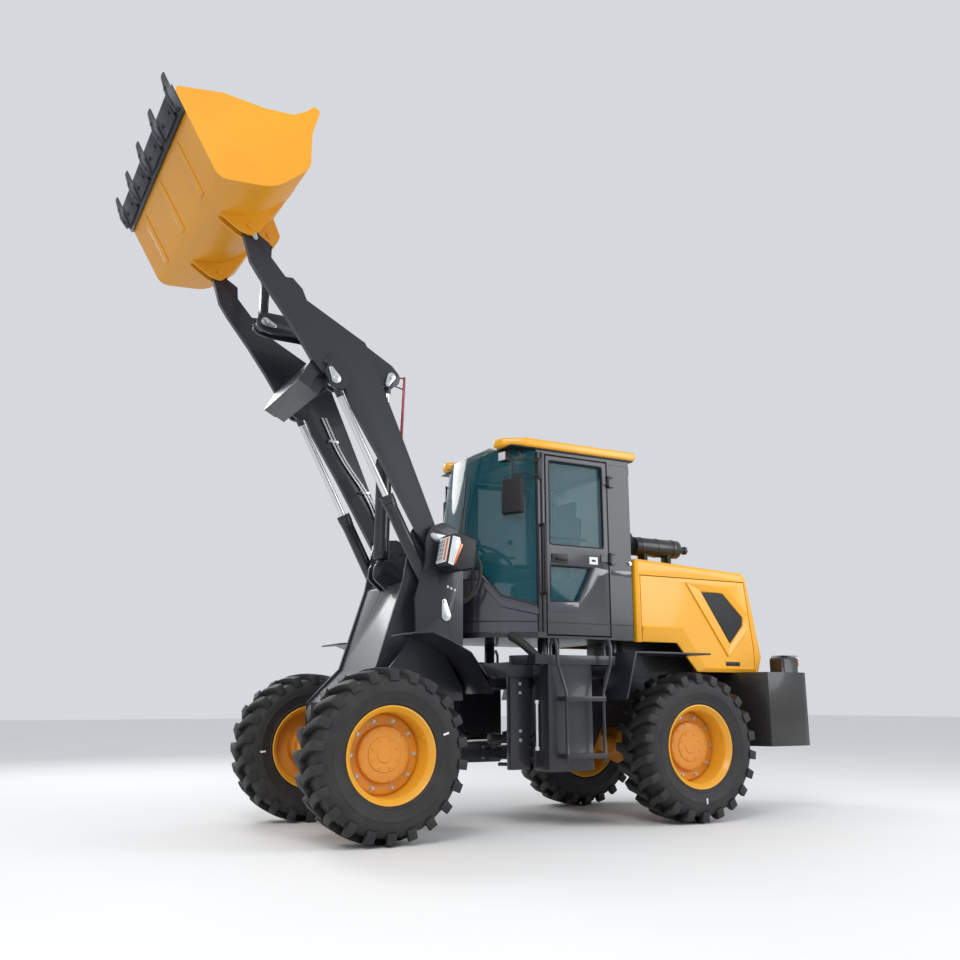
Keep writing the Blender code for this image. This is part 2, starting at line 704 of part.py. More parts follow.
def make_lift_cylinder(name, side, bodies):
    y = side * (ARM_OUTER - ARM_THICKNESS / 2)
    barrel, rod_piece = make_cylinder(
        LIFT_BASE, LIFT_EYE, LIFT_EYE_HALF * 2 + 0.008, LIFT_BORE, LIFT_ROD, LIFT_BARREL, LIFT_REACH,
        PIN_RADIUS)
    finish(f"lift_barrel_{name}", lay(barrel, LIFT_BASE, LIFT_EYE, y), DARK_STEEL, bodies[0])
    finish(f"lift_rod_{name}", lay(rod_piece, LIFT_BASE, LIFT_EYE, y), CHROME, bodies[1])


def make_tilt_cylinder(bodies):
    barrel, rod_piece = make_cylinder(
        TILT_BASE, ROCKER_TOP, 0.068, TILT_BORE, TILT_ROD, TILT_BARREL, TILT_REACH, PIN_RADIUS)
    finish("tilt_barrel", lay(barrel, TILT_BASE, ROCKER_TOP, 0), DARK_STEEL, bodies[0])
    finish("tilt_rod", lay(rod_piece, TILT_BASE, ROCKER_TOP, 0), CHROME, bodies[1])


def make_steer_cylinder(name, side, bodies):
    base = Vector((PIVOT_X - STEER_BASE, side * STEER_SIDE_REAR))
    tip = Vector((PIVOT_X + STEER_EYE, side * STEER_SIDE_FRONT))
    barrel, rod_piece = make_cylinder(
        base, tip, 0.044, STEER_BORE, STEER_ROD, STEER_BARREL, STEER_REACH, PIN_RADIUS * 0.6)
    way = (tip - base).normalized()
    turn = Matrix((
        (way.y, way.x, 0, base.x), (-way.x, way.y, 0, base.y),
        (0, 0, 1, STEER_HEIGHT), (0, 0, 0, 1)))
    for piece, label, material, body in (
            (barrel, "barrel", DARK_STEEL, bodies[0]), (rod_piece, "rod", CHROME, bodies[1])):
        piece.data.transform(turn)
        finish(f"steer_{label}_{name}", piece, material, body)


# ---- rear frame and what it carries ----


def make_rear_frame(body):
    rail = rounded([
        (PIVOT_X - 0.34, 0.50), (PIVOT_X - 0.34, RAIL_TOP), (REAR_END, RAIL_TOP), (REAR_END, RAIL_BOTTOM),
        (REAR_AXLE + 0.50, RAIL_BOTTOM), (REAR_AXLE + 0.62, 0.50),
    ])
    pieces = both(plate(rail, RAIL_OUTER - 0.03, RAIL_OUTER))
    wide = RAIL_OUTER - 0.01
    pieces.append(block((PIVOT_X - 0.34, -wide, 0.50), (PIVOT_X - 0.315, wide, RAIL_TOP)))
    pieces.append(block((REAR_END, -wide, RAIL_BOTTOM), (REAR_END + 0.03, wide, RAIL_TOP)))
    pieces.append(block((REAR_AXLE + 0.05, -wide, 0.80), (REAR_AXLE + 0.20, wide, 0.85)))
    pieces.append(block((REAR_AXLE - 0.55, -wide, 0.80), (REAR_AXLE - 0.40, wide, 0.85)))
    # Forks round the front frame's lugs
    for low in (0.52, 1.08):
        for bottom in (low - 0.028, low + 0.053):
            fork = [
                (PIVOT_X - 0.32, 0.30), (PIVOT_X - 0.32, -0.30), (PIVOT_X - 0.18, -0.14),
                (PIVOT_X + 0.10, -0.10, 0.09), (PIVOT_X + 0.10, 0.10, 0.09), (PIVOT_X - 0.18, 0.14),
            ]
            pieces.append(slab(rounded(fork), bottom, bottom + 0.025))
        pieces.append(rod((PIVOT_X, 0, low - 0.04), (PIVOT_X, 0, low + 0.09), ARTIC_PIN))
    # Clevises for the steering barrels
    x = PIVOT_X - STEER_BASE
    for low in (STEER_HEIGHT - 0.0425, STEER_HEIGHT + 0.0225):
        ear = rounded([
            (PIVOT_X - 0.32, STEER_SIDE_REAR + 0.05), (PIVOT_X - 0.32, STEER_SIDE_REAR - 0.05),
            (x + 0.04, STEER_SIDE_REAR - 0.04, 0.03), (x + 0.04, STEER_SIDE_REAR + 0.04, 0.03),
        ])
        pieces += both(slab(ear, low, low + 0.02))
    for side in (1, -1):
        y = side * STEER_SIDE_REAR
        pieces.append(rod((x, y, STEER_HEIGHT - 0.05), (x, y, STEER_HEIGHT + 0.05), PIN_RADIUS * 0.6))
    # Beams that carry the cab and the decks, and the bolted columns ahead of the tanks
    for x in (TANK_FRONT - 0.20, CAB_REAR + 0.10):
        beam_low = (x - 0.06, -TANK_INNER, RAIL_TOP - 0.01)
        pieces.append(block(beam_low, (x + 0.06, TANK_INNER, DECK_TOP - 0.02)))
        for y in (-0.45, 0.45):
            pieces.append(rod((x, y, DECK_TOP - 0.04), (x, y, CAB_BOTTOM - SEAT_GAP), 0.045, 16))
    low, high = TANK_INNER - 0.06, TANK_INNER
    pieces += both(block((TANK_FRONT + 0.025, low, 0.44), (TANK_FRONT + 0.20, high, 1.14)))
    pieces += both(block((PIVOT_X - 0.34, RAIL_OUTER - 0.02, 1.07), (TANK_FRONT + 0.06, high - 0.03, 1.13)))
    pad_low = (TANK_FRONT - 0.26, RAIL_OUTER - 0.02, 1.14)
    pieces += both(block(pad_low, (TANK_FRONT - 0.14, high - 0.02, 1.16)))
    finish("rear_frame", fused(pieces), CHARCOAL, body)


def make_tank(name, body, side):
    """A tank with the deck over it and the ladder on its outer face."""
    low = (TANK_REAR, TANK_INNER + SEAT_GAP, TANK_BOTTOM)
    box = bevelled(block(low, (TANK_FRONT, TANK_OUTER, DECK_TOP - 0.03)), 0.015, 1)
    deck = slab([
        (TANK_REAR - 0.20, TANK_INNER + SEAT_GAP), (TANK_REAR - 0.20, TANK_OUTER + 0.03),
        (DECK_FRONT - 0.07, TANK_OUTER + 0.03), (DECK_FRONT - 0.07, TANK_OUTER - 0.09),
        (DECK_FRONT, TANK_INNER + 0.06),
        (DECK_FRONT, TANK_INNER + SEAT_GAP)], DECK_TOP - DECK_DEPTH, DECK_TOP)
    pieces = [box, deck]
    inner, outer = TANK_OUTER + 0.012, STEP_OUT
    front, rear = -1.455, -1.80
    for x, lean in ((front, 1), (rear, -1)):
        pieces.append(tube([
            (x, outer, 0.50), (x, outer, 1.02), (x + 0.075 * lean, outer, 1.24),
            (x + 0.08 * lean, outer, 1.37), (x + 0.08 * lean, outer - 0.02, 1.42),
            (x + 0.08 * lean, outer - 0.06, 1.425), (x + 0.08 * lean, outer - 0.09, 1.38),
            (x + 0.08 * lean, outer - 0.09, 1.28)], 0.014, 1))
    for z in (0.53, 0.955):
        pieces.append(block((rear - 0.012, inner - 0.03, z), (front + 0.012, outer + 0.02, z + 0.035)))
    made = fused(pieces)
    if side < 0:
        other = mirrored(made)
        bpy.data.objects.remove(made, do_unlink=True)
        made = other
    finish(name, made, CHARCOAL, body)


def make_rear_fender(name, body, side):
    """A bent sheet over the wheel, on a bracket from the rail."""
    front, rear, top = REAR_AXLE + 0.62, REAR_AXLE - 0.16, 1.345
    outer = [(REAR_AXLE + 0.725, 0.97), (front, top), (rear, top)]
    inner = [(rear, top - 0.015), (front - 0.015, top - 0.015), (REAR_AXLE + 0.71, 0.97)]
    strip = plate(outer + inner, 0.632, 0.99)
    near, far = REAR_AXLE + 0.43, REAR_AXLE + 0.49
    arm = block((near, RAIL_OUTER + SEAT_GAP, 1.09), (far, 0.64, 1.13))
    post = block((near, 0.626, 1.09), (far, 0.65, 1.34))
    made = fused([strip, arm, post])
    if side < 0:
        other = mirrored(made)
        bpy.data.objects.remove(made, do_unlink=True)
        made = other
    finish(f"rear_fender_{name}", made, CHARCOAL, body)


def make_counterweight(body):
    plan = rounded([
        (WEIGHT_FRONT - SEAT_GAP, 0.60), (WEIGHT_FRONT - 0.14, WEIGHT_HALF), (WEIGHT_REAR, WEIGHT_HALF, 0.10),
        (WEIGHT_REAR, -WEIGHT_HALF, 0.10), (WEIGHT_FRONT - 0.14, -WEIGHT_HALF),
        (WEIGHT_FRONT - SEAT_GAP, -0.60),
    ])
    pieces = [slab(plan, WEIGHT_BOTTOM, WEIGHT_TOP)]
    pieces += both(bevelled(block((-4.08, 0.62, WEIGHT_TOP - 0.02), (-3.88, 0.80, 1.345)), 0.02, 1))
    pieces.append(block((WEIGHT_REAR - 0.05, -0.07, 0.70), (WEIGHT_REAR + 0.05, 0.07, 0.84)))
    finish("counterweight", fused(pieces), WEIGHT_BLACK, body)


def hood_height(x):
    """The top of the hood, which falls slightly toward the rear."""
    return HOOD_TOP - (HOOD_FRONT - x) * (HOOD_TOP - 2.105) / (HOOD_FRONT - HOOD_REAR - 0.02)


def make_hood(body):
    """The fixed hood: its top, front and rear, open below and at both sides."""
    outline = [
        (HOOD_FRONT, HOOD_TOP), (HOOD_FRONT, 1.0), (-3.700, 1.0), (HOOD_TAIL, 1.35), (-3.688, HOOD_HINGE),
        (-3.675, 2.06), (HOOD_REAR + 0.02, 2.105),
    ]
    body_piece = bevelled(plate(outline, -HOOD_HALF, HOOD_HALF), 0.04, 2, 60)
    below = plate([
        (HOOD_FRONT + 0.1, 0.9), (HOOD_FRONT + 0.1, 1.445), (-2.83, 1.448), (-3.045, HOOD_FOOT),
        (-4.0, HOOD_FOOT), (-4.0, 0.9)], -1, 1)
    s = HOOD_SKIN
    inside = plate([
        (HOOD_FRONT - s, HOOD_TOP - s - 0.003), (HOOD_FRONT - s, 0.95), (-3.700 + s, 0.95),
        (HOOD_TAIL + s, 1.35),
        (-3.688 + s, HOOD_HINGE), (HOOD_REAR + 0.005 + s, 2.105 - s - 0.004),
    ], -HOOD_HALF + s, HOOD_HALF - s)
    cuts = [inside, below]
    side = plate([
        (HOOD_FRONT - 0.05, HOOD_HINGE), (HOOD_FRONT - 0.05, 1.0), (-3.72, 1.0), (-3.72, 1.40),
        (-3.64, HOOD_HINGE)], HOOD_HALF - 0.10, HOOD_HALF + 0.1)
    cuts += both(side)
    cuts.append(block((-4.0, -0.44, 1.38), (-3.5, 0.44, 1.92)))
    doorway_low = (HOOD_FRONT - 0.04, -HOOD_HALF + 0.06, 1.0)
    cuts.append(block(doorway_low, (HOOD_FRONT + 0.1, HOOD_HALF - 0.06, 2.02)))
    finish("hood", fused([body_piece], cuts), BODY_YELLOW, body)


def make_hood_panel(name, body, side):
    """Side panel, hinged along its top edge, with the recess of its vent."""
    gap = 0.006
    outline = [
        (HOOD_FRONT - 0.05 - gap, HOOD_HINGE - gap), (HOOD_FRONT - 0.05 - gap, 1.448), (-2.83, 1.448),
        (-3.045, HOOD_FOOT),
        (-3.72 + gap, HOOD_FOOT), (-3.72 + gap, 1.40), (-3.64 + gap, HOOD_HINGE - gap),
    ]
    sheet = plate(outline, HOOD_HALF - HOOD_SKIN, HOOD_HALF)
    vent = plate([
        (-3.125, 1.911), (-3.375, 1.906), (-3.603, 1.695), (-3.597, 1.621), (-3.438, 1.452),
    ], HOOD_HALF - 0.010, HOOD_HALF + 0.02)
    made = fused([sheet], [vent])
    if side < 0:
        other = mirrored(made)
        bpy.data.objects.remove(made, do_unlink=True)
        made = other
    finish(f"hood_panel_{name}", made, BODY_YELLOW, body)


def make_engine(body):
    low = 0.85 + SEAT_GAP
    block_piece = block((REAR_AXLE - 0.60, -0.27, low), (REAR_AXLE + 0.24, 0.27, 1.80))
    finish("engine_block", bevelled(block_piece, 0.03, 1), DARK_STEEL, body)


def make_muffler(body):
    y, z = 0.25, 2.335
    shell = rod((-3.17, y, z), (-2.67, y, z), 0.085, 24)
    tail = rod((-3.16, y, z), (-3.29, y, z), 0.032, 16)
    feet = [
        block((x - 0.02, y - 0.05, hood_height(x + 0.02) + SEAT_GAP), (x + 0.02, y + 0.05, z))
        for x in (-3.05, -2.78)]
    made = fused([shell, tail, *feet], [])
    finish("muffler", made, DARK_STEEL, body)


def make_air_cleaner(body):
    x, y = -2.765, -0.03
    profile = [(0, 0.0), (0.045, 0.0), (0.045, 0.24), (0.105, 0.25), (0.11, 0.30), (0.09, 0.345), (0, 0.355)]
    cap = turned(profile, 20)
    cap.data.transform(Matrix.Rotation(math.pi / 2, 4, "X"))
    moved(cap, (x, y, hood_height(x + 0.045) + SEAT_GAP))
    finish("air_cleaner", cap, DARK_PLASTIC, body)


# ---- cab ----


def front_plan(inset=0.0, top=False):
    """The glass's outline from above: the same sweep, leaning back at the top."""
    lean = 0.14 if top else 0.0
    half = CAB_HALF - inset
    return [
        (CAB_PILLAR, half), (-1.13 - inset - lean * 0.7, 0.53 - inset),
        (-0.985 - inset - lean, 0.41 - inset * 0.8),
        (CAB_NOSE - 0.02 - inset - lean, 0.22),
    ]


def hinge_ears(height):
    """The fixed half of a door hinge: two ears on the pillar and the pin between them."""
    x, y = DOOR_HINGE
    pieces = [rod((x, y, height - 0.05), (x, y, height + 0.05), HINGE_PIN, 10)]
    for low in (height - 0.05, height + 0.036):
        pieces.append(block((x - 0.05, CAB_HALF - 0.01, low), (x + 0.008, y + 0.012, low + 0.014)))
    return fused(pieces)


def hinge_leaf(height):
    """The moving half: a knuckle on the pin, with its leaf on the door."""
    x, y = DOOR_HINGE
    knuckle = rod((x, y, height - 0.035), (x, y, height + 0.035), 0.014, 12)
    leaf = block((x + 0.004, CAB_HALF - 0.004, height - 0.03), (x + 0.09, CAB_HALF + 0.009, height + 0.03))
    hole = rod((x, y, height - 1), (x, y, height + 1), bore_radius(HINGE_PIN, 10), 10)
    return fused([knuckle, leaf], [hole])


def make_cab_shell(body):
    """Floor, pillars, lower walls and the rear wall, with the doorways and windows cut."""
    outer = slab([(p[0], p[1]) for p in (
        (CAB_REAR, CAB_HALF), (CAB_REAR, -CAB_HALF), (CAB_PILLAR, -CAB_HALF), (CAB_PILLAR, CAB_HALF))],
        CAB_BOTTOM, CAB_TOP)
    hollow = block((CAB_REAR + CAB_WALL, -CAB_HALF + CAB_WALL, CAB_FLOOR),
                   (CAB_PILLAR + 0.2, CAB_HALF - CAB_WALL, CAB_TOP - 0.05))
    doors = both(block((DOOR_REAR, CAB_HALF - CAB_WALL - 0.01, DOOR_SILL), (DOOR_FRONT, 1, DOOR_HEAD)))
    rear = block((CAB_REAR - 0.1, -0.50, 2.22), (CAB_REAR + 0.1, 0.50, 2.93))
    side = (CAB_PILLAR - 0.02, CAB_HALF - 0.01)
    nose = [side] + whole_front(front_plan()) + [(side[0], -side[1])]
    front_floor = slab(nose, CAB_BOTTOM, CAB_FLOOR)
    hinges = [piece for height in DOOR_HINGES for piece in both(hinge_ears(height))]
    shell = fused([outer, front_floor, *hinges], [hollow, *doors, rear])
    finish("cab_shell", shell, CAB_CHARCOAL, body)


def make_roof(body):
    plan = [
        (ROOF_REAR, 0.66), (ROOF_REAR, -0.66), (-1.30, -0.66), (-1.13, -0.55), (-1.105, -0.44),
        (-1.24, -0.36), (-1.24, 0.36), (-1.105, 0.44), (-1.13, 0.55), (-1.30, 0.66),
    ]
    top = slab(plan, CAB_TOP + SEAT_GAP, CAB_TOP + ROOF_THICKNESS)
    finish("cab_roof", bevelled(top, 0.015, 1, 60), BODY_YELLOW, body)


def swept_wall(foot_outer, head_outer, foot_inner, head_inner, foot_heights, head_heights):
    """A wall lofted between four rings of points, each with a height for every point."""
    rings = (
        (foot_outer, foot_heights), (head_outer, head_heights), (head_inner, head_heights),
        (foot_inner, foot_heights))
    count = len(foot_outer)
    points = [(p[0], p[1], z) for ring, heights in rings for p, z in zip(ring, heights)]
    faces = []
    for k in range(4):
        a, b = k * count, (k + 1) % 4 * count
        faces += [(a + i, a + i + 1, b + i + 1, b + i) for i in range(count - 1)]
    faces.append((0, count, 2 * count, 3 * count))
    faces.append((4 * count - 1, 3 * count - 1, 2 * count - 1, count - 1))
    data = bpy.data.meshes.new("wall")
    data.from_pydata(points, [], faces)
    return baked(as_object(data))


def whole_front(half_plan):
    """Both sides of an outline given for the left side from the pillar to the middle."""
    return half_plan + [(x, -y) for x, y in reversed(half_plan)]


def front_ring(inset, top=False):
    """The front outline on both sides, with its ends just clear of the pillars."""
    ring = whole_front(front_plan(inset, top))
    for end in (0, -1):
        ring[end] = (CAB_PILLAR + SEAT_GAP, ring[end][1])
    return ring


def sill_heights():
    """The foot of the front glass at each point of the outline, low at the pillars."""
    half = [1.70, 1.77, 1.99, 2.01]
    return half + half[::-1]


def make_windshield(body):
    foot = [height + 0.010 for height in sill_heights()]
    head = [CAB_TOP] * len(foot)
    rings = [front_ring(0.012), front_ring(0.012, True), front_ring(0.020), front_ring(0.020, True)]
    finish("windshield", swept_wall(*rings, foot, head), GLASS, body)


def make_fairing(body):
    """The glossy nose under the windshield, on the cab's floor."""
    head = sill_heights()
    foot = [CAB_FLOOR + SEAT_GAP] * len(head)
    outer, inner = front_ring(0.0), front_ring(0.028)
    finish("front_fairing", swept_wall(outer, outer, inner, inner, foot, head), GLOSS_GREY, body)


def make_door(name, body, side):
    gap = 0.008
    low, high = CAB_HALF - 0.032, CAB_HALF
    x0, x1 = DOOR_REAR + gap, DOOR_FRONT - gap
    frame = block((x0, low, DOOR_SILL + gap), (x1, high, DOOR_HEAD - gap))
    upper = block((-2.075, 0, 2.215), (-1.535, 1, 2.925))
    lower = plate([(-1.956, 2.046), (-1.802, 1.759), (-1.535, 1.745), (-1.535, 2.046)], 0, 1)
    leaves = [hinge_leaf(height) for height in DOOR_HINGES]
    made = fused([frame, *leaves], [upper, lower])
    pane = block((-2.085, low - 0.0063, 1.735), (-1.525, low - SEAT_GAP, 2.935))
    for piece, label, material in ((made, "cab_door", CAB_CHARCOAL), (pane, "door_glass", GLASS)):
        if side < 0:
            other = mirrored(piece)
            bpy.data.objects.remove(piece, do_unlink=True)
            piece = other
        finish(f"{label}_{name}", piece, material, body)


def make_rear_window(body):
    low = (CAB_REAR + 0.015, -0.50 + SEAT_GAP, 2.22 + SEAT_GAP)
    pane = block(low, (CAB_REAR + 0.021, 0.50 - SEAT_GAP, 2.93 - SEAT_GAP))
    finish("rear_window", pane, GLASS, body)


def make_mirror(name, body, side):
    """A mirror turned toward the driver, on two rails from the door pillar."""
    x, y = -1.20, 0.605
    head = bevelled(block((-0.022, -0.10, 2.44), (0.022, 0.10, 2.745)), 0.015, 1)
    head.data.transform(Matrix.Translation((x, y, 0)) @ Matrix.Rotation(math.radians(30), 4, "Z"))
    rails = [
        tube([(CAB_PILLAR - 0.03, CAB_HALF + 0.010, z), (-1.31, 0.66, z), (x, y, z - 0.01)], 0.009, 1)
        for z in (2.90, 2.78)]
    stem = tube([(x, y, 2.905), (x, y, 2.70)], 0.010, 1)
    foot = block((CAB_PILLAR - 0.05, CAB_HALF + SEAT_GAP, 2.75), (CAB_PILLAR - 0.01, CAB_HALF + 0.022, 2.93))
    made = fused([head, stem, *rails, foot])
    if side < 0:
        other = mirrored(made)
        bpy.data.objects.remove(made, do_unlink=True)
        made = other
    finish(f"mirror_{name}", made, DARK_PLASTIC, body)


def make_interior(body):
    floor = CAB_FLOOR + SEAT_GAP
    console = plate(rounded([
        (-1.16, floor), (-1.00, floor), (-1.00, 1.95), (-1.10, 2.02, 0.04), (-1.24, 1.96)]), -0.24, 0.24)
    column = rod((-1.16, 0, 1.85), (-1.335, 0, 2.145), 0.035, 12)
    finish("dashboard", fused([console, column]), DARK_PLASTIC, body)
    ring = turned([(0.185 + 0.014 * math.cos(a), 0.014 * math.sin(a))
                   for a in [i * math.tau / 6 for i in range(6)]], 18, True)
    bars = [
        block((-0.18, -0.008, -0.016), (0.18, 0.008, 0.016)),
        block((-0.016, -0.008, -0.18), (0.016, 0.008, 0.016))]
    boss = rod((0, -0.02, 0), (0, 0.02, 0), 0.05, 12)
    knob = rod((0.185, 0, 0), (0.185, 0.06, 0), 0.018, 10)
    wheel = fused([ring, *bars, boss, knob])
    lean = math.atan2(0.175, 0.295)
    wheel.data.transform(Matrix.Rotation(-lean, 4, "Y") @ Matrix.Rotation(math.pi / 2, 4, "X"))
    place = Vector((-1.335, 0, 2.145)) + Vector((-0.175, 0, 0.295)).normalized() * (0.020 + SEAT_GAP)
    finish("steering_wheel", moved(wheel, place), DARK_PLASTIC, body)
    pedestal = block((-2.10, -0.20, floor), (-1.72, 0.20, 1.86))
    finish("seat_base", bevelled(pedestal, 0.03, 1), DARK_PLASTIC, body)
    cushion = bevelled(block((-2.10, -0.24, 1.86 + SEAT_GAP), (-1.62, 0.24, 1.98)), 0.03, 2)
    finish("seat_cushion", cushion, FABRIC, body)
    back = plate(rounded([
        (-2.10, 1.98 + SEAT_GAP), (-1.99, 1.98 + SEAT_GAP), (-2.06, 2.55), (-2.09, 2.57), (-2.09, 2.74, 0.02),
        (-2.17, 2.74, 0.02), (-2.17, 2.5)]), -0.22, 0.22)
    shoulders = both(block((-2.3, 0.13, 2.56), (-2.0, 0.3, 2.8)))
    finish("seat_back", fused([back], shoulders), FABRIC, body)


def centre_on_ground(root):
    """Puts the origin under the centre of the whole machine's box."""
    bpy.context.view_layer.update()
    corners = [obj.matrix_world @ vertex.co for obj in parts.objects for vertex in obj.data.vertices]
    low = [min(c[i] for c in corners) for i in range(3)]
    high = [max(c[i] for c in corners) for i in range(3)]
    root.location = (-(low[0] + high[0]) / 2, -(low[1] + high[1]) / 2, -low[2])
    bpy.context.view_layer.update()


clear_scene()
parts = new_collection("wheel_loader")
shapes = new_collection("shapes")
guides = new_collection("guides", hidden=True)
places = {}

CHARCOAL = paint("charcoal_paint", (0.052, 0.058, 0.080), 0.45)
CAB_CHARCOAL = paint("cab_paint", (0.042, 0.042, 0.055), 0.45)
GLOSS_GREY = paint("fairing_paint", (0.10, 0.10, 0.12), 0.2)
BODY_YELLOW = paint("body_yellow", (0.90, 0.42, 0.03), 0.4)
BUCKET_YELLOW = paint("bucket_yellow", (0.90, 0.43, 0.03), 0.45)
WHEEL_YELLOW = paint("wheel_yellow", (0.82, 0.36, 0.03), 0.45)
AXLE_YELLOW = paint("axle_orange", (0.55, 0.18, 0.03), 0.5)
WEIGHT_BLACK = paint("weight_black", (0.018, 0.017, 0.018), 0.8)
DARK_STEEL = paint("dark_steel", (0.03, 0.03, 0.035), 0.5, 0.3)
CHROME = paint("chrome_rod", (0.8, 0.8, 0.82), 0.12, 1.0)
DARK_PLASTIC = paint("dark_plastic", (0.025, 0.025, 0.03), 0.5)
RUBBER = paint("tyre_rubber", (0.025, 0.025, 0.028), 0.85)
GLASS = paint("tinted_glass", (0.08, 0.20, 0.22), 0.05, 0.0, 0.4)
FABRIC = paint("seat_fabric", (0.03, 0.03, 0.035), 0.95)

machine = joint("machine", (0, 0, 0), None)
front = joint("articulation", (PIVOT_X, 0, TYRE_RADIUS), machine)
boom = joint("boom_pivot", (BOOM_PIVOT[0], 0, BOOM_PIVOT[1]), front)
rocker = joint("rocker_pivot", (ROCKER_PIVOT[0], 0, ROCKER_PIVOT[1]), boom)
bucket = joint("bucket_hinge", (BUCKET_HINGE[0], 0, BUCKET_HINGE[1]), boom)
link = joint("link_pivot", (LINK_TOP[0], 0, LINK_TOP[1]), bucket)
tilt_barrel = joint("tilt_base", (TILT_BASE[0], 0, TILT_BASE[1]), front)
tilt_rod = joint("tilt_slide", (TILT_BASE[0], 0, TILT_BASE[1]), tilt_barrel)

make_front_frame(front)
make_axle("front_axle", 0.0, front, TOWER_INNER - 0.03, RAIL_BOTTOM - SEAT_GAP)
make_boom(boom)
make_rocker(rocker)
make_link(link)
make_bucket(bucket)
make_cutting_edge(bucket)
make_tilt_cylinder((tilt_barrel, tilt_rod))
make_rear_frame(machine)
make_axle("rear_axle", REAR_AXLE, machine, RAIL_OUTER - 0.01, RAIL_BOTTOM - SEAT_GAP)
make_counterweight(machine)
make_engine(machine)
make_hood(machine)
make_muffler(machine)
make_air_cleaner(machine)
make_cab_shell(machine)
make_roof(machine)
make_windshield(machine)
make_fairing(machine)
make_rear_window(machine)
make_interior(machine)
make_tank("fuel_tank", machine, 1)
make_tank("hydraulic_tank", machine, -1)

for name, side in (("left", 1), ("right", -1)):
    arm_y = side * (ARM_OUTER - ARM_THICKNESS / 2)
    lift = joint(f"lift_base_{name}", (LIFT_BASE[0], arm_y, LIFT_BASE[1]), front)
    lift_slide = joint(f"lift_slide_{name}", (LIFT_BASE[0], arm_y, LIFT_BASE[1]), lift)
    make_lift_cylinder(name, side, (lift, lift_slide))
    steer_place = (PIVOT_X - STEER_BASE, side * STEER_SIDE_REAR, STEER_HEIGHT)
    steer = joint(f"steer_base_{name}", steer_place, machine)
    make_steer_cylinder(name, side, (steer, joint(f"steer_slide_{name}", steer_place, steer)))
    for end, x, carrier in (("front", 0.0, front), ("rear", REAR_AXLE, machine)):
        hub = joint(f"hub_{end}_{name}", (x, side * TRACK / 2, TYRE_RADIUS), carrier)
        make_wheel(f"{end}_{name}", hub, side)
    make_front_fender(name, front, side)
    make_headlight(name, front, side)
    make_rear_fender(name, machine, side)
    make_mirror(name, machine, side)
    door = joint(f"door_hinge_{name}", (DOOR_HINGE[0], side * DOOR_HINGE[1], DOOR_SILL), machine)
    make_door(name, door, side)
    panel = joint(f"panel_hinge_{name}", (HOOD_FRONT, side * HOOD_HALF, HOOD_HINGE), machine)
    make_hood_panel(name, panel, side)

bpy.data.collections.remove(shapes)
centre_on_ground(machine)
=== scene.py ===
import math

import bmesh
import bpy
from mathutils import Matrix, Vector


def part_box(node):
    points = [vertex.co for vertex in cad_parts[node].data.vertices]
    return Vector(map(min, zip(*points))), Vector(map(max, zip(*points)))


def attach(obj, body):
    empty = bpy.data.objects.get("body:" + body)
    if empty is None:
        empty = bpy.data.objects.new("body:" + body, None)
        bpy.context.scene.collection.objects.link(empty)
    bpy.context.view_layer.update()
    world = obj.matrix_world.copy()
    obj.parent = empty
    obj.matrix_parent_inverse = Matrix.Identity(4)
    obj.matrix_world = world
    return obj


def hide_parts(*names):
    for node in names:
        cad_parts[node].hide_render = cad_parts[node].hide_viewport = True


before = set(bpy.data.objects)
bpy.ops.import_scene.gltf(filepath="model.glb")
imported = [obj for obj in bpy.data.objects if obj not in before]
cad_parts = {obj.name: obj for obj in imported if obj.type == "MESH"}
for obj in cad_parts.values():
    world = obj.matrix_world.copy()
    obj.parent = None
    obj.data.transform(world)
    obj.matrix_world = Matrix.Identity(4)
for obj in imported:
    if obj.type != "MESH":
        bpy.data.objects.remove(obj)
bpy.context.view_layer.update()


def centreOf(node):
    low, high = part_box(node)
    return (low + high) / 2


# everything below is placed from the front axle, which the frame gives
frontAxle = centreOf("tyre_front_left").x
sides = {"left": 1, "right": -1}
camera = {"place": (2.786, 7.358, 0.936), "yaw": 28.6, "pitch": 12.85, "roll": -0.085, "lens": 36.8}
studio = {"sky": (0.93, 0.96, 1.0), "skyStrength": 0.72, "floor": 60.0}


# camera, light and floor
def areaLight(name, place, target, size, power, colour):
    data = bpy.data.lights.new(name, "AREA")
    data.shape = "DISK"
    data.size = size
    data.energy = power
    data.color = colour
    lamp = bpy.data.objects.new(name, data)
    lamp.location = Vector(place) + Vector((frontAxle, 0, 0))
    lamp.rotation_euler = (Vector(target) - Vector(place)).to_track_quat("-Z", "Y").to_euler()
    bpy.context.scene.collection.objects.link(lamp)


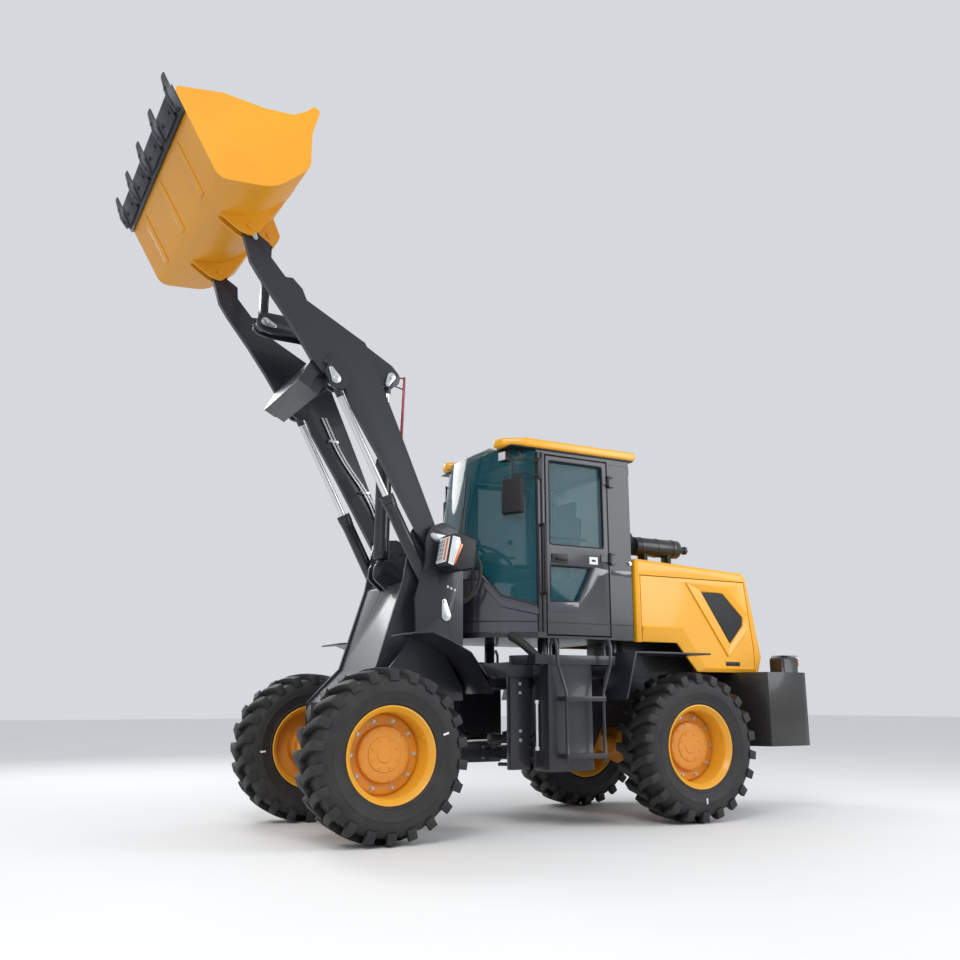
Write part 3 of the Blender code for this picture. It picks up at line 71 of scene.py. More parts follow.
def buildStudio():
    data = bpy.data.cameras.new("camera")
    data.lens = camera["lens"]
    data.sensor_width = 36.0
    data.clip_end = 200.0
    eye = bpy.data.objects.new("camera", data)
    bpy.context.scene.collection.objects.link(eye)
    turn = Matrix.Rotation(math.radians(180 - camera["yaw"]), 4, "Z")
    lift = Matrix.Rotation(math.radians(90 + camera["pitch"]), 4, "X")
    roll = Matrix.Rotation(math.radians(camera["roll"]), 4, "Z")
    place = Vector(camera["place"]) + Vector((frontAxle, 0, 0))
    eye.matrix_world = Matrix.Translation(place) @ turn @ lift @ roll
    bpy.context.scene.camera = eye

    world = bpy.data.worlds.new("studio")
    world.use_nodes = True
    back = world.node_tree.nodes["Background"]
    back.inputs["Color"].default_value = (*studio["sky"], 1)
    back.inputs["Strength"].default_value = studio["skyStrength"]
    bpy.context.scene.world = world
    bpy.context.scene.view_settings.view_transform = "Standard"

    areaLight("key", (4.5, 7.5, 8.5), (-1.0, 0, 1.8), 5.0, 500, (1.0, 0.98, 0.95))
    areaLight("fill", (-7.0, 6.0, 4.5), (-1.5, 0, 1.5), 5.0, 260, (0.95, 0.98, 1.0))
    areaLight("rim", (1.0, -8.0, 7.0), (-1.0, 0, 2.0), 4.0, 320, (1.0, 1.0, 1.0))

    ground = bmesh.new()
    bmesh.ops.create_grid(ground, x_segments=1, y_segments=1, size=studio["floor"])
    mesh = bpy.data.meshes.new("floor")
    ground.to_mesh(mesh)
    ground.free()
    floor = bpy.data.objects.new("floor", mesh)
    bpy.context.scene.collection.objects.link(floor)
    surface = Finish("floor_pale", **{"Roughness": 0.75})
    cloud = surface.noise(0.8, 3)
    surface.feed("Base Color", surface.mixed(cloud, (0.80, 0.80, 0.80), (0.84, 0.84, 0.84)))
    mesh.materials.append(surface.material)
    print("studio: camera, three lights and the floor")


# materials
class Value:  # a shader socket that takes part in ordinary sums
    def __init__(self, finish, socket):
        self.finish = finish
        self.socket = socket

    def maths(self, operation, first, second=None):
        inputs = {0: first}
        if second is not None:
            inputs[1] = second
        return self.finish.node("ShaderNodeMath", {"operation": operation}, inputs)

    def __add__(self, other):
        return self.maths("ADD", self, other)

    def __radd__(self, other):
        return self.maths("ADD", other, self)

    def __sub__(self, other):
        return self.maths("SUBTRACT", self, other)

    def __rsub__(self, other):
        return self.maths("SUBTRACT", other, self)

    def __mul__(self, other):
        return self.maths("MULTIPLY", self, other)

    def __rmul__(self, other):
        return self.maths("MULTIPLY", other, self)

    def __truediv__(self, other):
        return self.maths("DIVIDE", self, other)

    def __rtruediv__(self, other):
        return self.maths("DIVIDE", other, self)

    def wave(self):
        return self.maths("SINE", self)

    def held(self):  # kept between 0 and 1
        return self.maths("MINIMUM", self.maths("MAXIMUM", self, 0.0), 1.0)


class Finish:  # a material with the nodes that feed its shader
    def __init__(self, name, **constants):
        self.material = bpy.data.materials.new(name)
        self.material.use_nodes = True
        self.tree = self.material.node_tree
        self.shader = self.tree.nodes["Principled BSDF"]
        for socket, value in constants.items():
            self.shader.inputs[socket].default_value = value

    def node(self, kind, settings=None, inputs=None, output=0):
        made = self.tree.nodes.new(kind)
        for key, value in (settings or {}).items():
            setattr(made, key, value)
        for key, value in (inputs or {}).items():
            self.join(made.inputs[key], value)
        return Value(self, made.outputs[output])

    def join(self, socket, value):
        if isinstance(value, Value):
            self.tree.links.new(value.socket, socket)
        elif isinstance(value, tuple) and socket.type == "RGBA":
            socket.default_value = (*value[:3], 1)
        else:
            socket.default_value = value

    def feed(self, socket, value):
        self.join(self.shader.inputs[socket], value)

    def place(self):
        return self.node("ShaderNodeTexCoord", output="Object")

    def axes(self):  # x from the front axle, y and z
        split = self.node("ShaderNodeSeparateXYZ", inputs={"Vector": self.place()})
        outputs = split.socket.node.outputs
        return Value(self, outputs[0]) - frontAxle, Value(self, outputs[1]), Value(self, outputs[2])

    def noise(self, scale, detail=4.0, stretch=(1, 1, 1)):
        spot = self.node("ShaderNodeMapping", inputs={"Vector": self.place(), "Scale": stretch})
        inputs = {"Vector": spot, "Scale": scale, "Detail": detail}
        return self.node("ShaderNodeTexNoise", inputs=inputs, output="Fac")

    def mixed(self, factor, first, second):
        return self.node("ShaderNodeMix", {"data_type": "RGBA"}, {0: factor, 6: first, 7: second}, 2)

    def bump(self, height, strength, distance):
        inputs = {"Height": height, "Strength": strength, "Distance": distance}
        return self.node("ShaderNodeBump", inputs=inputs)


def tone(red, green, blue):  # a screen colour as linear light
    def linear(part):
        share = part / 255
        return share / 12.92 if share <= 0.04045 else ((share + 0.055) / 1.055) ** 2.4
    return linear(red), linear(green), linear(blue)


dust = {"colour": tone(150, 138, 118), "reach": 1.5}


def paint(name, colour, deep, roughness, coat, dusty=0.12, peel=0.10, metallic=0.0):
    # sprayed enamel: a slow drift in colour, orange peel, and road dust that thins out upward
    made = Finish(name, **{"Metallic": metallic, "Coat Weight": coat, "Coat Roughness": 0.10})
    drift = made.noise(1.7, 3.0)
    grain = made.noise(55.0, 5.0)
    height = made.axes()[2]
    low = (1.0 - height / dust["reach"]).held()
    film = (low * (grain * 1.4 - 0.35).held() * dusty * 2.0 + dusty * 0.12 * grain).held()
    body = made.mixed((drift * 1.6 - 0.3).held(), colour, deep)
    made.feed("Base Color", made.mixed(film, body, dust["colour"]))
    made.feed("Roughness", (roughness + (grain - 0.5) * 0.10 + film * 0.5).held())
    made.feed("Normal", made.bump(made.noise(240.0, 2.0), peel, 0.001))
    return made


def bareMetal(name, colour, roughness, brushed=(1, 1, 1), metallic=1.0):
    made = Finish(name, **{"Metallic": metallic})
    streak = made.noise(90.0, 4.0, brushed)
    drift = made.noise(3.0, 2.0)
    made.feed("Base Color", made.mixed(drift * 0.8, colour, tuple(c * 0.72 for c in colour)))
    made.feed("Roughness", (roughness + (streak - 0.5) * 0.22).held())
    made.feed("Normal", made.bump(streak, 0.08, 0.0006))
    return made


def moulded(name, colour, roughness, grainScale=420.0, strength=0.25):
    # moulded plastic with a fine leather grain
    made = Finish(name)
    inputs = {"Vector": made.place(), "Scale": grainScale}
    cells = made.node("ShaderNodeTexVoronoi", inputs=inputs, output="Distance")
    drift = made.noise(4.0, 3.0)
    made.feed("Base Color", made.mixed(drift * 0.7, colour, tuple(c * 1.35 + 0.002 for c in colour)))
    made.feed("Roughness", (roughness + (drift - 0.5) * 0.16).held())
    made.feed("Normal", made.bump(cells, strength, 0.0006))
    return made


def rubber(name, colour, dusty):
    made = Finish(name)
    grain = made.noise(120.0, 6.0)
    smear = made.noise(6.0, 4.0)
    film = ((smear * 1.8 - 0.55).held() * dusty).held()
    made.feed("Base Color", made.mixed(film, colour, tone(112, 106, 96)))
    made.feed("Roughness", (0.62 + (grain - 0.5) * 0.3 + film * 0.3).held())
    made.feed("Normal", made.bump(grain, 0.3, 0.0012))
    return made


def tintedGlass(name, colour, alpha):
    made = Finish(name, **{"Roughness": 0.04, "Coat Weight": 0.1, "Coat Roughness": 0.05, "IOR": 1.38})
    haze = made.noise(2.4, 3.0)
    made.feed("Base Color", made.mixed(haze, colour, tuple(c * 1.5 for c in colour)))
    made.feed("Alpha", (alpha + (haze - 0.5) * 0.10).held())
    return made


def lensGlass(name, colour):
    # pressed glass with fine flutes
    made = Finish(name, **{"Coat Weight": 1.0, "Coat Roughness": 0.03, "Roughness": 0.12})
    x, y, z = made.axes()
    flutes = (y * 900.0).wave() * 0.5 + (z * 900.0).wave() * 0.5
    made.feed("Base Color", made.mixed(made.noise(14.0, 2.0), colour, tuple(c * 0.7 for c in colour)))
    made.feed("Normal", made.bump(flutes, 0.25, 0.001))
    return made


def wovenCloth(name, colour, thread):
    made = Finish(name, **{"Sheen Weight": 0.35, "Sheen Roughness": 0.5})
    x, y, z = made.axes()
    warp = (y * 2600.0).wave()
    weft = ((x + z) * 2600.0).wave()
    weave = warp * weft * 0.5 + 0.5
    drift = made.noise(9.0, 4.0)
    made.feed("Base Color", made.mixed((weave * 0.6 + drift * 0.4).held(), colour, thread))
    made.feed("Roughness", (0.88 + (drift - 0.5) * 0.14).held())
    made.feed("Normal", made.bump(weave, 0.4, 0.0006))
    return made


def buildFinishes():
    made = {
        "yellow": paint("body_yellow", tone(238, 170, 18), tone(232, 161, 14), 0.36, 0.35, 0.03),
        "bucketYellow": paint("bucket_yellow", tone(226, 156, 18), tone(216, 145, 14), 0.46, 0.15, 0.05),
        "wheelYellow": paint("wheel_yellow", tone(236, 172, 34), tone(226, 158, 26), 0.42, 0.25, 0.12),
        "hubOrange": paint("axle_orange", tone(222, 146, 30), tone(206, 128, 24), 0.48, 0.15, 0.12),
        "charcoal": paint("charcoal_paint", tone(27, 30, 41), tone(21, 24, 34), 0.40, 0.22, 0.06),
        "cab": paint("cab_paint", tone(34, 34, 42), tone(28, 28, 35), 0.36, 0.3, 0.05),
        # lighter grey than the cab paint: the gloss is real, the lighter base colour is a painted highlight
        "fairing": paint("fairing_gloss_painted_highlight", tone(66, 66, 76), tone(54, 54, 63), 0.20, 0.9, 0.04),
        "black": paint("weight_black", tone(20, 19, 21), tone(15, 15, 17), 0.40, 0.30, 0.06),
        "steel": paint("dark_steel", tone(24, 26, 31), tone(18, 20, 24), 0.38, 0.3, 0.05),
        "red": paint("gauge_red", tone(150, 18, 34), tone(128, 12, 28), 0.36, 0.4, 0.0),
        "chrome": bareMetal("chrome_rod", (0.80, 0.81, 0.83), 0.10, (1, 1, 8)),
        "zinc": bareMetal("zinc_plate", (0.66, 0.69, 0.71), 0.34),
        "castSteel": bareMetal("tooth_steel", (0.055, 0.060, 0.070), 0.46, metallic=0.7),
        "plastic": moulded("black_plastic", tone(17, 17, 20), 0.50),
        "seatShell": moulded("seat_plastic", tone(34, 34, 37), 0.55),
        "tyre": rubber("tyre_rubber", tone(25, 25, 29), 0.13),
        "hose": rubber("hose_rubber", tone(24, 24, 27), 0.16),
        "glass": tintedGlass("cab_glass", tone(20, 74, 84), 0.50),
        "lampGlass": lensGlass("lamp_glass", (0.72, 0.74, 0.78)),
        "amber": lensGlass("amber_lens", tone(235, 118, 20)),
        "redLens": lensGlass("red_lens", tone(190, 20, 18)),
        "white": paint("label_white", tone(226, 228, 230), tone(214, 216, 220), 0.45, 0.1, 0.04),
        "cloth": wovenCloth("seat_cloth", tone(30, 31, 34), tone(58, 60, 66)),
    }
    print("materials:", len(made))
    return made


# shaping
def soften(part, width, segments=2, angle=30.0):
    sharp = [
        edge for edge in part.edges
        if len(edge.link_faces) == 2 and edge.calc_face_angle(0.0) > math.radians(angle)]
    bmesh.ops.bevel(
        part, geom=sharp, offset=width, segments=segments, profile=0.5, affect="EDGES",
        clamp_overlap=True, material=-1)


class Form:  # a mesh being shaped, in metres, with x from the front axle
    def __init__(self):
        self.mesh = bmesh.new()

    def add(self, part, matrix=None, edge=0.0, angle=30.0):  # takes in a part, with its edges rounded
        if edge:
            soften(part, edge, angle=angle)
        if matrix:
            part.transform(matrix)
            if matrix.determinant() < 0:
                bmesh.ops.reverse_faces(part, faces=part.faces)
        data = bpy.data.meshes.new("part")
        part.to_mesh(data)
        part.free()
        self.mesh.from_mesh(data)
        bpy.data.meshes.remove(data)

    def block(self, low, high, edge=0.0, matrix=None):
        low, high = Vector(low), Vector(high)
        part = bmesh.new()
        bmesh.ops.create_cube(part, size=1.0)
        part.transform(Matrix.Translation((low + high) / 2) @ Matrix.Diagonal((*(high - low), 1.0)))
        self.add(part, matrix, edge)

    def rod(self, start, end, radius, steps=20, tip=None, edge=0.0):
        start, end = Vector(start), Vector(end)
        way = end - start
        part = bmesh.new()
        bmesh.ops.create_cone(
            part, cap_ends=True, segments=steps, radius1=radius,
            radius2=radius if tip is None else tip, depth=way.length)
        face = way.to_track_quat("Z", "Y").to_matrix().to_4x4()
        self.add(part, Matrix.Translation((start + end) / 2) @ face, edge, 50.0)

    def ball(self, centre, radius, stretch=(1, 1, 1), steps=16):
        part = bmesh.new()
        bmesh.ops.create_uvsphere(part, u_segments=steps, v_segments=steps // 2, radius=radius)
        self.add(part, Matrix.Translation(centre) @ Matrix.Diagonal((*stretch, 1.0)))

    def bolt(self, place, way, size, tall=None):  # a hexagon head on its washer
        place, way = Vector(place), Vector(way).normalized()
        tall = tall or size * 0.6
        self.rod(place, place + way * size * 0.16, size * 1.05, 14)
        self.rod(place + way * size * 0.16, place + way * (size * 0.16 + tall), size * 0.8, 6)

    def turned(self, profile, matrix, steps=48, closed=False):  # (radius, along Z), swept round Z
        part = bmesh.new()
        verts = [part.verts.new((radius, 0.0, along)) for radius, along in profile]
        edges = [part.edges.new(pair) for pair in zip(verts, verts[1:])]
        if closed:
            edges.append(part.edges.new((verts[-1], verts[0])))
        bmesh.ops.spin(
            part, geom=verts + edges, cent=(0, 0, 0), axis=(0, 0, 1), angle=math.tau,
            steps=steps, use_merge=True)
        bmesh.ops.remove_doubles(part, verts=part.verts, dist=0.00002)
        bmesh.ops.recalc_face_normals(part, faces=part.faces)
        self.add(part, matrix)

    def plate(self, outline, low, high, edge=0.0, matrix=None):  # outline in x and z, thick along y
        part = bmesh.new()
        face = part.faces.new([part.verts.new((x, low, z)) for x, z in outline])
        lifted = bmesh.ops.extrude_face_region(part, geom=[face])["geom"]
        top = [item for item in lifted if isinstance(item, bmesh.types.BMVert)]
        bmesh.ops.translate(part, vec=(0, high - low, 0), verts=top)
        bmesh.ops.recalc_face_normals(part, faces=part.faces)
        self.add(part, matrix, edge)

    def lofted(self, rings, closed=False, edge=0.0):  # a skin over rings of points, capped unless it closes
        part = bmesh.new()
        rows = [[part.verts.new(point) for point in ring] for ring in rings]
        count = len(rows[0])
        for first, second in zip(rows, rows[1:] + rows[:1] if closed else rows[1:]):
            for i in range(count):
                j = (i + 1) % count
                part.faces.new((first[i], second[i], second[j], first[j]))
        if not closed:
            part.faces.new(rows[0])
            part.faces.new(rows[-1][::-1])
        bmesh.ops.recalc_face_normals(part, faces=part.faces)
        self.add(part, None, edge)

    def tube(self, points, radius, sides=3, smooth=True):  # a round tube along a line
        data = bpy.data.curves.new("line", "CURVE")
        data.dimensions = "3D"
        data.bevel_depth = radius
        data.bevel_resolution = sides
        data.resolution_u = 8
        data.use_fill_caps = True
        line = data.splines.new("BEZIER" if smooth else "POLY")
        if smooth:
            line.bezier_points.add(len(points) - 1)
            for knot, point in zip(line.bezier_points, points):
                knot.co = point
                knot.handle_left_type = knot.handle_right_type = "AUTO"
        else:
            line.points.add(len(points) - 1)
            for knot, point in zip(line.points, points):
                knot.co = (*point, 1.0)
        holder = bpy.data.objects.new("line", data)
        bpy.context.scene.collection.objects.link(holder)
        swept = bpy.data.meshes.new_from_object(holder.evaluated_get(bpy.context.evaluated_depsgraph_get()))
        bpy.data.objects.remove(holder)
        part = bmesh.new()
        part.from_mesh(swept)
        bpy.data.meshes.remove(swept)
        bmesh.ops.remove_doubles(part, verts=part.verts, dist=0.00005)
        bmesh.ops.recalc_face_normals(part, faces=part.faces)
        self.add(part)

    def mirrored(self):  # the same again on the other side of the machine
        other = self.mesh.copy()
        self.add(other, Matrix.Diagonal((1, -1, 1, 1)))

    def finished(self, name, finish, slot, body, replaced=(), smooth=38.0, moved=True):
        if moved:
            bmesh.ops.translate(self.mesh, vec=(frontAxle, 0, 0), verts=self.mesh.verts)
        data = bpy.data.meshes.new(name)
        self.mesh.to_mesh(data)
        self.mesh.free()
        data.materials.append(finishes[finish].material)
        data.shade_smooth()
        data.set_sharp_from_angle(angle=math.radians(smooth))
        piece = bpy.data.objects.new(name, data)
        bpy.context.scene.collection.objects.link(piece)
        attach(piece, body)
        if replaced:
            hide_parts(*replaced)
        return piece


def arced(corners, steps=4):  # (x, z, radius) corners of an outline or a bar, rounded
    points = []
    count = len(corners)
    for index, corner in enumerate(corners):
        here = Vector(corner[:2])
        radius = corner[2] if len(corner) > 2 else 0.0
        if not radius:
            points.append(tuple(here))
            continue
        back = (Vector(corners[index - 1][:2]) - here).normalized()
        ahead = (Vector(corners[(index + 1) % count][:2]) - here).normalized()
        half = back.angle(ahead) / 2
        reach = radius / math.tan(half)
        centre = here + (back + ahead).normalized() * (radius / math.sin(half))
        first = here + back * reach - centre
        sweep = first.angle_signed(here + ahead * reach - centre)
        for step in range(steps + 1):
            turned = first.copy()
            turned.rotate(Matrix.Rotation(-sweep * step / steps, 2))
            points.append(tuple(centre + turned))
    return points


def posed(place, degrees, axis="Z"):  # a frame at a place, turned about one axis
    return Matrix.Translation(place) @ Matrix.Rotation(math.radians(degrees), 4, axis)


acrossY = Matrix.Rotation(math.radians(-90), 4, "X")  # turns Z onto +Y


# CAD nodes kept, with their edges rounded
rounding = {"angle": 28.0, "short": 2.6}


def refined(node, width, finish, slot, body, smooth=38.0):
    form = Form()
    form.mesh.from_mesh(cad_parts[node].data)
    bmesh.ops.remove_doubles(form.mesh, verts=form.mesh.verts, dist=0.00005)
    bmesh.ops.dissolve_limit(
        form.mesh, angle_limit=math.radians(0.4), verts=form.mesh.verts, edges=form.mesh.edges)
    if width:
        sharp = [
            edge for edge in form.mesh.edges
            if len(edge.link_faces) == 2 and edge.calc_face_angle(0.0) > math.radians(rounding["angle"])
            and edge.calc_length() > width * rounding["short"]
            and all(face.calc_area() > width * width * 4 for face in edge.link_faces)]
        bmesh.ops.bevel(
            form.mesh, geom=sharp, offset=width, segments=2, profile=0.5, affect="EDGES",
            clamp_overlap=True, material=-1)
    piece = form.finished(f"{node}_skin", finish, slot, body, (node,), smooth, moved=False)
    return piece


# wheels
tyre = {
    "lugs": 22, "base": 0.546, "crown": 0.595, "half": 0.204, "drop": 0.014, "foot": 0.500,
    "wide": 0.084, "narrow": 0.066, "sweep": 0.090, "edge": 0.004, "seat": 0.3128,
}


def addLugs(form, matrix):
    # each lug runs from the middle of the tread, where it leads, out and over the shoulder
    for number in range(tyre["lugs"] * 2):
        side = 1 if number % 2 else -1
        part = bmesh.new()
        bmesh.ops.create_cube(part, size=1.0)
        long = [e for e in part.edges if abs((e.verts[0].co - e.verts[1].co).y) > 0.5]
        bmesh.ops.subdivide_edges(part, edges=long, cuts=5, use_grid_fill=True)
        start = number * math.pi / tyre["lugs"]
        for vert in part.verts:
            out = vert.co.y + 0.5
            top = vert.co.z > 0
            reach = -0.012 + (tyre["half"] + 0.012) * out
            width = tyre["narrow"] + (tyre["wide"] - tyre["narrow"]) * out
            width *= 0.80 if top else 1.0
            radius = tyre["crown"] - tyre["drop"] * out * out if top else tyre["base"] - 0.012
            if out > 0.99:
                reach = tyre["half"] - 0.006 if top else tyre["half"] + 0.004
                radius = radius - 0.006 if top else tyre["foot"]
            along = vert.co.x * width + tyre["sweep"] * max(0.0, 1 - out) ** 1.7
            angle = start + along / tyre["crown"]
            vert.co = (radius * math.cos(angle), radius * math.sin(angle), reach * side)
        bmesh.ops.recalc_face_normals(part, faces=part.faces)
        form.add(part, matrix, tyre["edge"], 40.0)


def carcass():
    half = [
        (tyre["seat"], 0.1595), (0.333, 0.170), (0.346, 0.184), (0.352, 0.187), (0.358, 0.185),
        (0.385, 0.195), (0.425, 0.2025), (0.428, 0.2045), (0.434, 0.2045), (0.437, 0.2025),
        (0.470, 0.202), (0.500, 0.197), (0.522, 0.184), (0.537, 0.160), (0.545, 0.110), (0.548, 0.0)]
    return half + [(radius, -along) for radius, along in reversed(half[:-1])]


rim = {"flange": 0.333, "half": 0.178, "well": 0.288, "disc": 0.003}
hub = {"radius": 0.193, "face": 0.048, "bolts": 12, "inner": 8, "nuts": 10, "nutRing": 0.236}


def buildWheels():
    for end in ("front", "rear"):
        for side, sign in sides.items():
            name, body = f"{end}_{side}", f"wheel_{end}_{side}_body"
            centre = centreOf(f"tyre_{name}") - Vector((frontAxle, 0, 0))
            spot = Matrix.Translation(centre)
            face = spot @ Matrix.Rotation(math.radians(-90 * sign), 4, "X")  # Z looks outward
            form = Form()
            addLugs(form, spot @ acrossY)
            form.turned(carcass(), spot @ acrossY, 88, closed=True)
            form.finished(f"tyre_{name}_tread", "tyre", "tyre_rubber", body, (f"tyre_{name}",), 32.0)

            form = Form()
            lip, half, well = rim["flange"], rim["half"], rim["well"]
            outside = [
                (tyre["seat"] - 0.001, 0.150), (tyre["seat"], 0.163), (lip - 0.012, 0.166),
                (lip - 0.003, 0.170), (lip, 0.175), (lip - 0.002, half),
                (lip - 0.008, half + 0.0015), (lip - 0.014, half - 0.002),
                (lip - 0.018, 0.168), (0.303, 0.158), (0.300, 0.152), (0.293, 0.146), (well, 0.132)]
            inside = [(well - 0.002, 0.02), (well - 0.012, -0.02), (well, -0.05)]
            barrel = outside + inside + [(r, -z) for r, z in reversed(outside)]
            form.turned(barrel, face, 72, closed=True)
            valve = face @ Matrix.Rotation(math.radians(205), 4, "Z")
            form.rod(valve @ Vector((0.283, 0, 0.125)), valve @ Vector((0.268, 0, 0.165)), 0.005, 10)
            form.finished(f"rim_{name}_ring", "wheelYellow", "wheel_yellow", body, (f"rim_{name}",), 40.0)

            form = Form()
            deep, drum = rim["disc"], hub["radius"]
            form.turned([
                (0.0, hub["face"] + 0.006), (0.052, hub["face"] + 0.006), (0.058, hub["face"]),
                (0.118, hub["face"]), (0.122, hub["face"] - 0.007), (drum - 0.012, hub["face"] - 0.007),
                (drum - 0.004, hub["face"] - 0.011), (drum, hub["face"] - 0.020), (drum, deep + 0.012),
                (drum + 0.006, deep), (0.258, deep), (0.268, deep - 0.004), (0.280, deep - 0.022),
                (well + 0.004, deep - 0.026), (well + 0.004, deep - 0.036), (0.272, deep - 0.034),
                (0.250, deep - 0.014), (0.162, deep - 0.014), (0.155, -0.112), (0.0, -0.112)], face, 72)
            for ring, count, height, size in (
                    (drum - 0.016, hub["bolts"], hub["face"] - 0.007, 0.008),
                    (0.098, hub["inner"], hub["face"], 0.008)):
                for i in range(count):
                    turn = face @ Matrix.Rotation(math.tau * (i + 0.5) / count, 4, "Z")
                    base = turn @ Vector((ring, 0, height))
                    form.bolt(base, turn @ Vector((ring, 0, height + 1)) - base, size)
            form.finished(f"hub_{name}", "hubOrange", "axle_orange", body, (), 40.0)

            form = Form()
            for i in range(hub["nuts"]):
                turn = face @ Matrix.Rotation(math.tau * i / hub["nuts"], 4, "Z")
                base = turn @ Vector((hub["nutRing"], 0, deep))
                way = turn @ Vector((hub["nutRing"], 0, deep + 1)) - base
                form.bolt(base, way, 0.013, 0.014)
                form.rod(base, base + way * 0.026, 0.0075, 12)
            form.finished(f"nuts_{name}", "zinc", "wheel_yellow", body)

            markAngle = {"front_left": 161, "rear_left": -92, "front_right": -4}.get(name)
            if markAngle is not None:
                form = Form()
                turn = spot @ acrossY @ Matrix.Rotation(math.radians(-markAngle), 4, "Z")
                form.block((0.398, -0.007, 0.2005), (0.442, 0.007, 0.2055), 0.001, turn)
                form.finished(f"tyre_mark_{name}", "white", "tyre_rubber", body)
    print("wheels: four lugged tyres, rims and hubs")


# cylinders
def between(start, end):  # a frame at start with Z toward end
    start, end = Vector(start), Vector(end)
    return Matrix.Translation(start) @ (end - start).to_track_quat("Z", "Y").to_matrix().to_4x4()


cylinders = {
    "lift": {"base": (-0.626, 1.599), "eye": (0.319, 3.376), "side": 0.465, "bore": 0.050, "barrel": 1.035,
             "rod": 0.026, "half": 0.034, "reach": 1.035},
    "tilt": {"base": (-0.301, 1.981), "eye": (-0.332, 3.629), "side": 0.0, "bore": 0.064, "barrel": 0.94,
             "rod": 0.026, "half": 0.034, "reach": 0.86},
}


def addCylinder(kind, suffix, side, barrelBody, rodBody):
    size = cylinders[kind]
    base = (size["base"][0], size["side"] * side, size["base"][1])
    eye = (size["eye"][0], size["side"] * side, size["eye"][1])
    way = between(base, eye)
    length = (Vector(eye) - Vector(base)).length
    bore, half, end = size["bore"], size["half"], size["barrel"]
    form = Form()
    form.turned([
        (0.0, 0.100), (bore * 0.82, 0.100), (bore, 0.116), (bore, 0.150), (bore * 1.05, 0.154),
        (bore * 1.05, 0.174), (bore, 0.178), (bore, end - 0.105), (bore * 1.06, end - 0.101),
        (bore * 1.06, end - 0.070), (bore * 1.14, end - 0.066), (bore * 1.14, end - 0.006),
        (bore * 1.10, end), (size["rod"] + 0.004, end), (size["rod"] + 0.0006, end - 0.006),
        (size["rod"] + 0.0006, end - 0.02), (0.0, end - 0.03)], way, 40)
    bar = Vector((0, half, 0))
    form.rod(Vector(base) - bar, Vector(base) + bar, 0.054, 32, edge=0.003)
    form.block((-0.030, -half + 0.004, 0.0), (0.030, half - 0.004, 0.115), 0.003, way)
    for port in (0.155, end - 0.085):
        form.rod(way @ Vector((0, 0, port)), way @ Vector((-bore - 0.022, 0, port)), 0.017, 16, edge=0.002)
    replaced = f"{kind}_barrel{suffix}"
    form.finished(f"{replaced}_tube", "steel", "dark_steel", barrelBody, (replaced,))
    form = Form()
    thick = size["rod"]
    form.rod(way @ Vector((0, 0, length - size["reach"])), way @ Vector((0, 0, length - 0.02)), thick, 32)
    eyeBar = Vector((0, half - 0.004, 0))
    form.rod(Vector(eye) - eyeBar, Vector(eye) + eyeBar, 0.050, 32, edge=0.003)
    replaced = f"{kind}_rod{suffix}"
    form.finished(f"{replaced}_bar", "chrome", "chrome_rod", rodBody, (replaced,))
    form = Form()
    form.turned([
        (thick, length - 0.135), (thick * 1.16, length - 0.130), (thick * 1.16, length - 0.050),
        (thick * 1.5, length - 0.036), (thick, length - 0.030)], way, 32, closed=True)
    form.finished(f"{replaced}_collar", "steel", "dark_steel", rodBody)


def buildCylinders():
    for side, sign in sides.items():
        addCylinder("lift", f"_{side}", sign, f"lift_barrel_{side}_body", f"lift_rod_{side}_body")
    addCylinder("tilt", "", 0, "tilt_barrel_body", "tilt_rod_body")
    print("cylinders: two lift and one tilt")


# cab
cab = {
    "half": 0.63, "front": -1.41, "rear": -2.36, "doorFront": -1.50, "doorRear": -2.122, "seam": 1.578,
    "sill": 1.478, "head": 2.967,
    "upper": [(-2.075, 2.215, 0.03), (-1.535, 2.215, 0.03), (-1.535, 2.925, 0.03), (-2.075, 2.925, 0.03)],
    "lower": [(-1.956, 2.046, 0.02), (-1.802, 1.759, 0.03), (-1.535, 1.745, 0.02), (-1.535, 2.046, 0.02)],
    "sweep": [
        (-1.506, 1.742), (-1.506, 1.662), (-1.800, 1.668, 0.05), (-1.862, 1.700, 0.05), (-2.012, 1.965, 0.04),
        (-2.116, 1.998), (-2.116, 2.036), (-1.968, 2.052, 0.03), (-1.806, 1.750, 0.03)],
    "sweepRear": [(-2.146, 1.996), (-2.355, 1.988), (-2.355, 2.040), (-2.146, 2.036)],
}


def frameLoop(form, outline, y, radius):  # a rubber bead round an opening
    points = [(x, y, z) for x, z in arced(outline)]
    form.tube([*points, points[0], points[1]], radius, sides=1, smooth=False)


def mirrorTo(form, sign):
    if sign < 0:
        form.mesh.transform(Matrix.Diagonal((1, -1, 1, 1)))
        bmesh.ops.reverse_faces(form.mesh, faces=form.mesh.faces)


door = {"bead": 0.0055, "margin": 0.004, "handle": 2.100, "lock": 0.011}


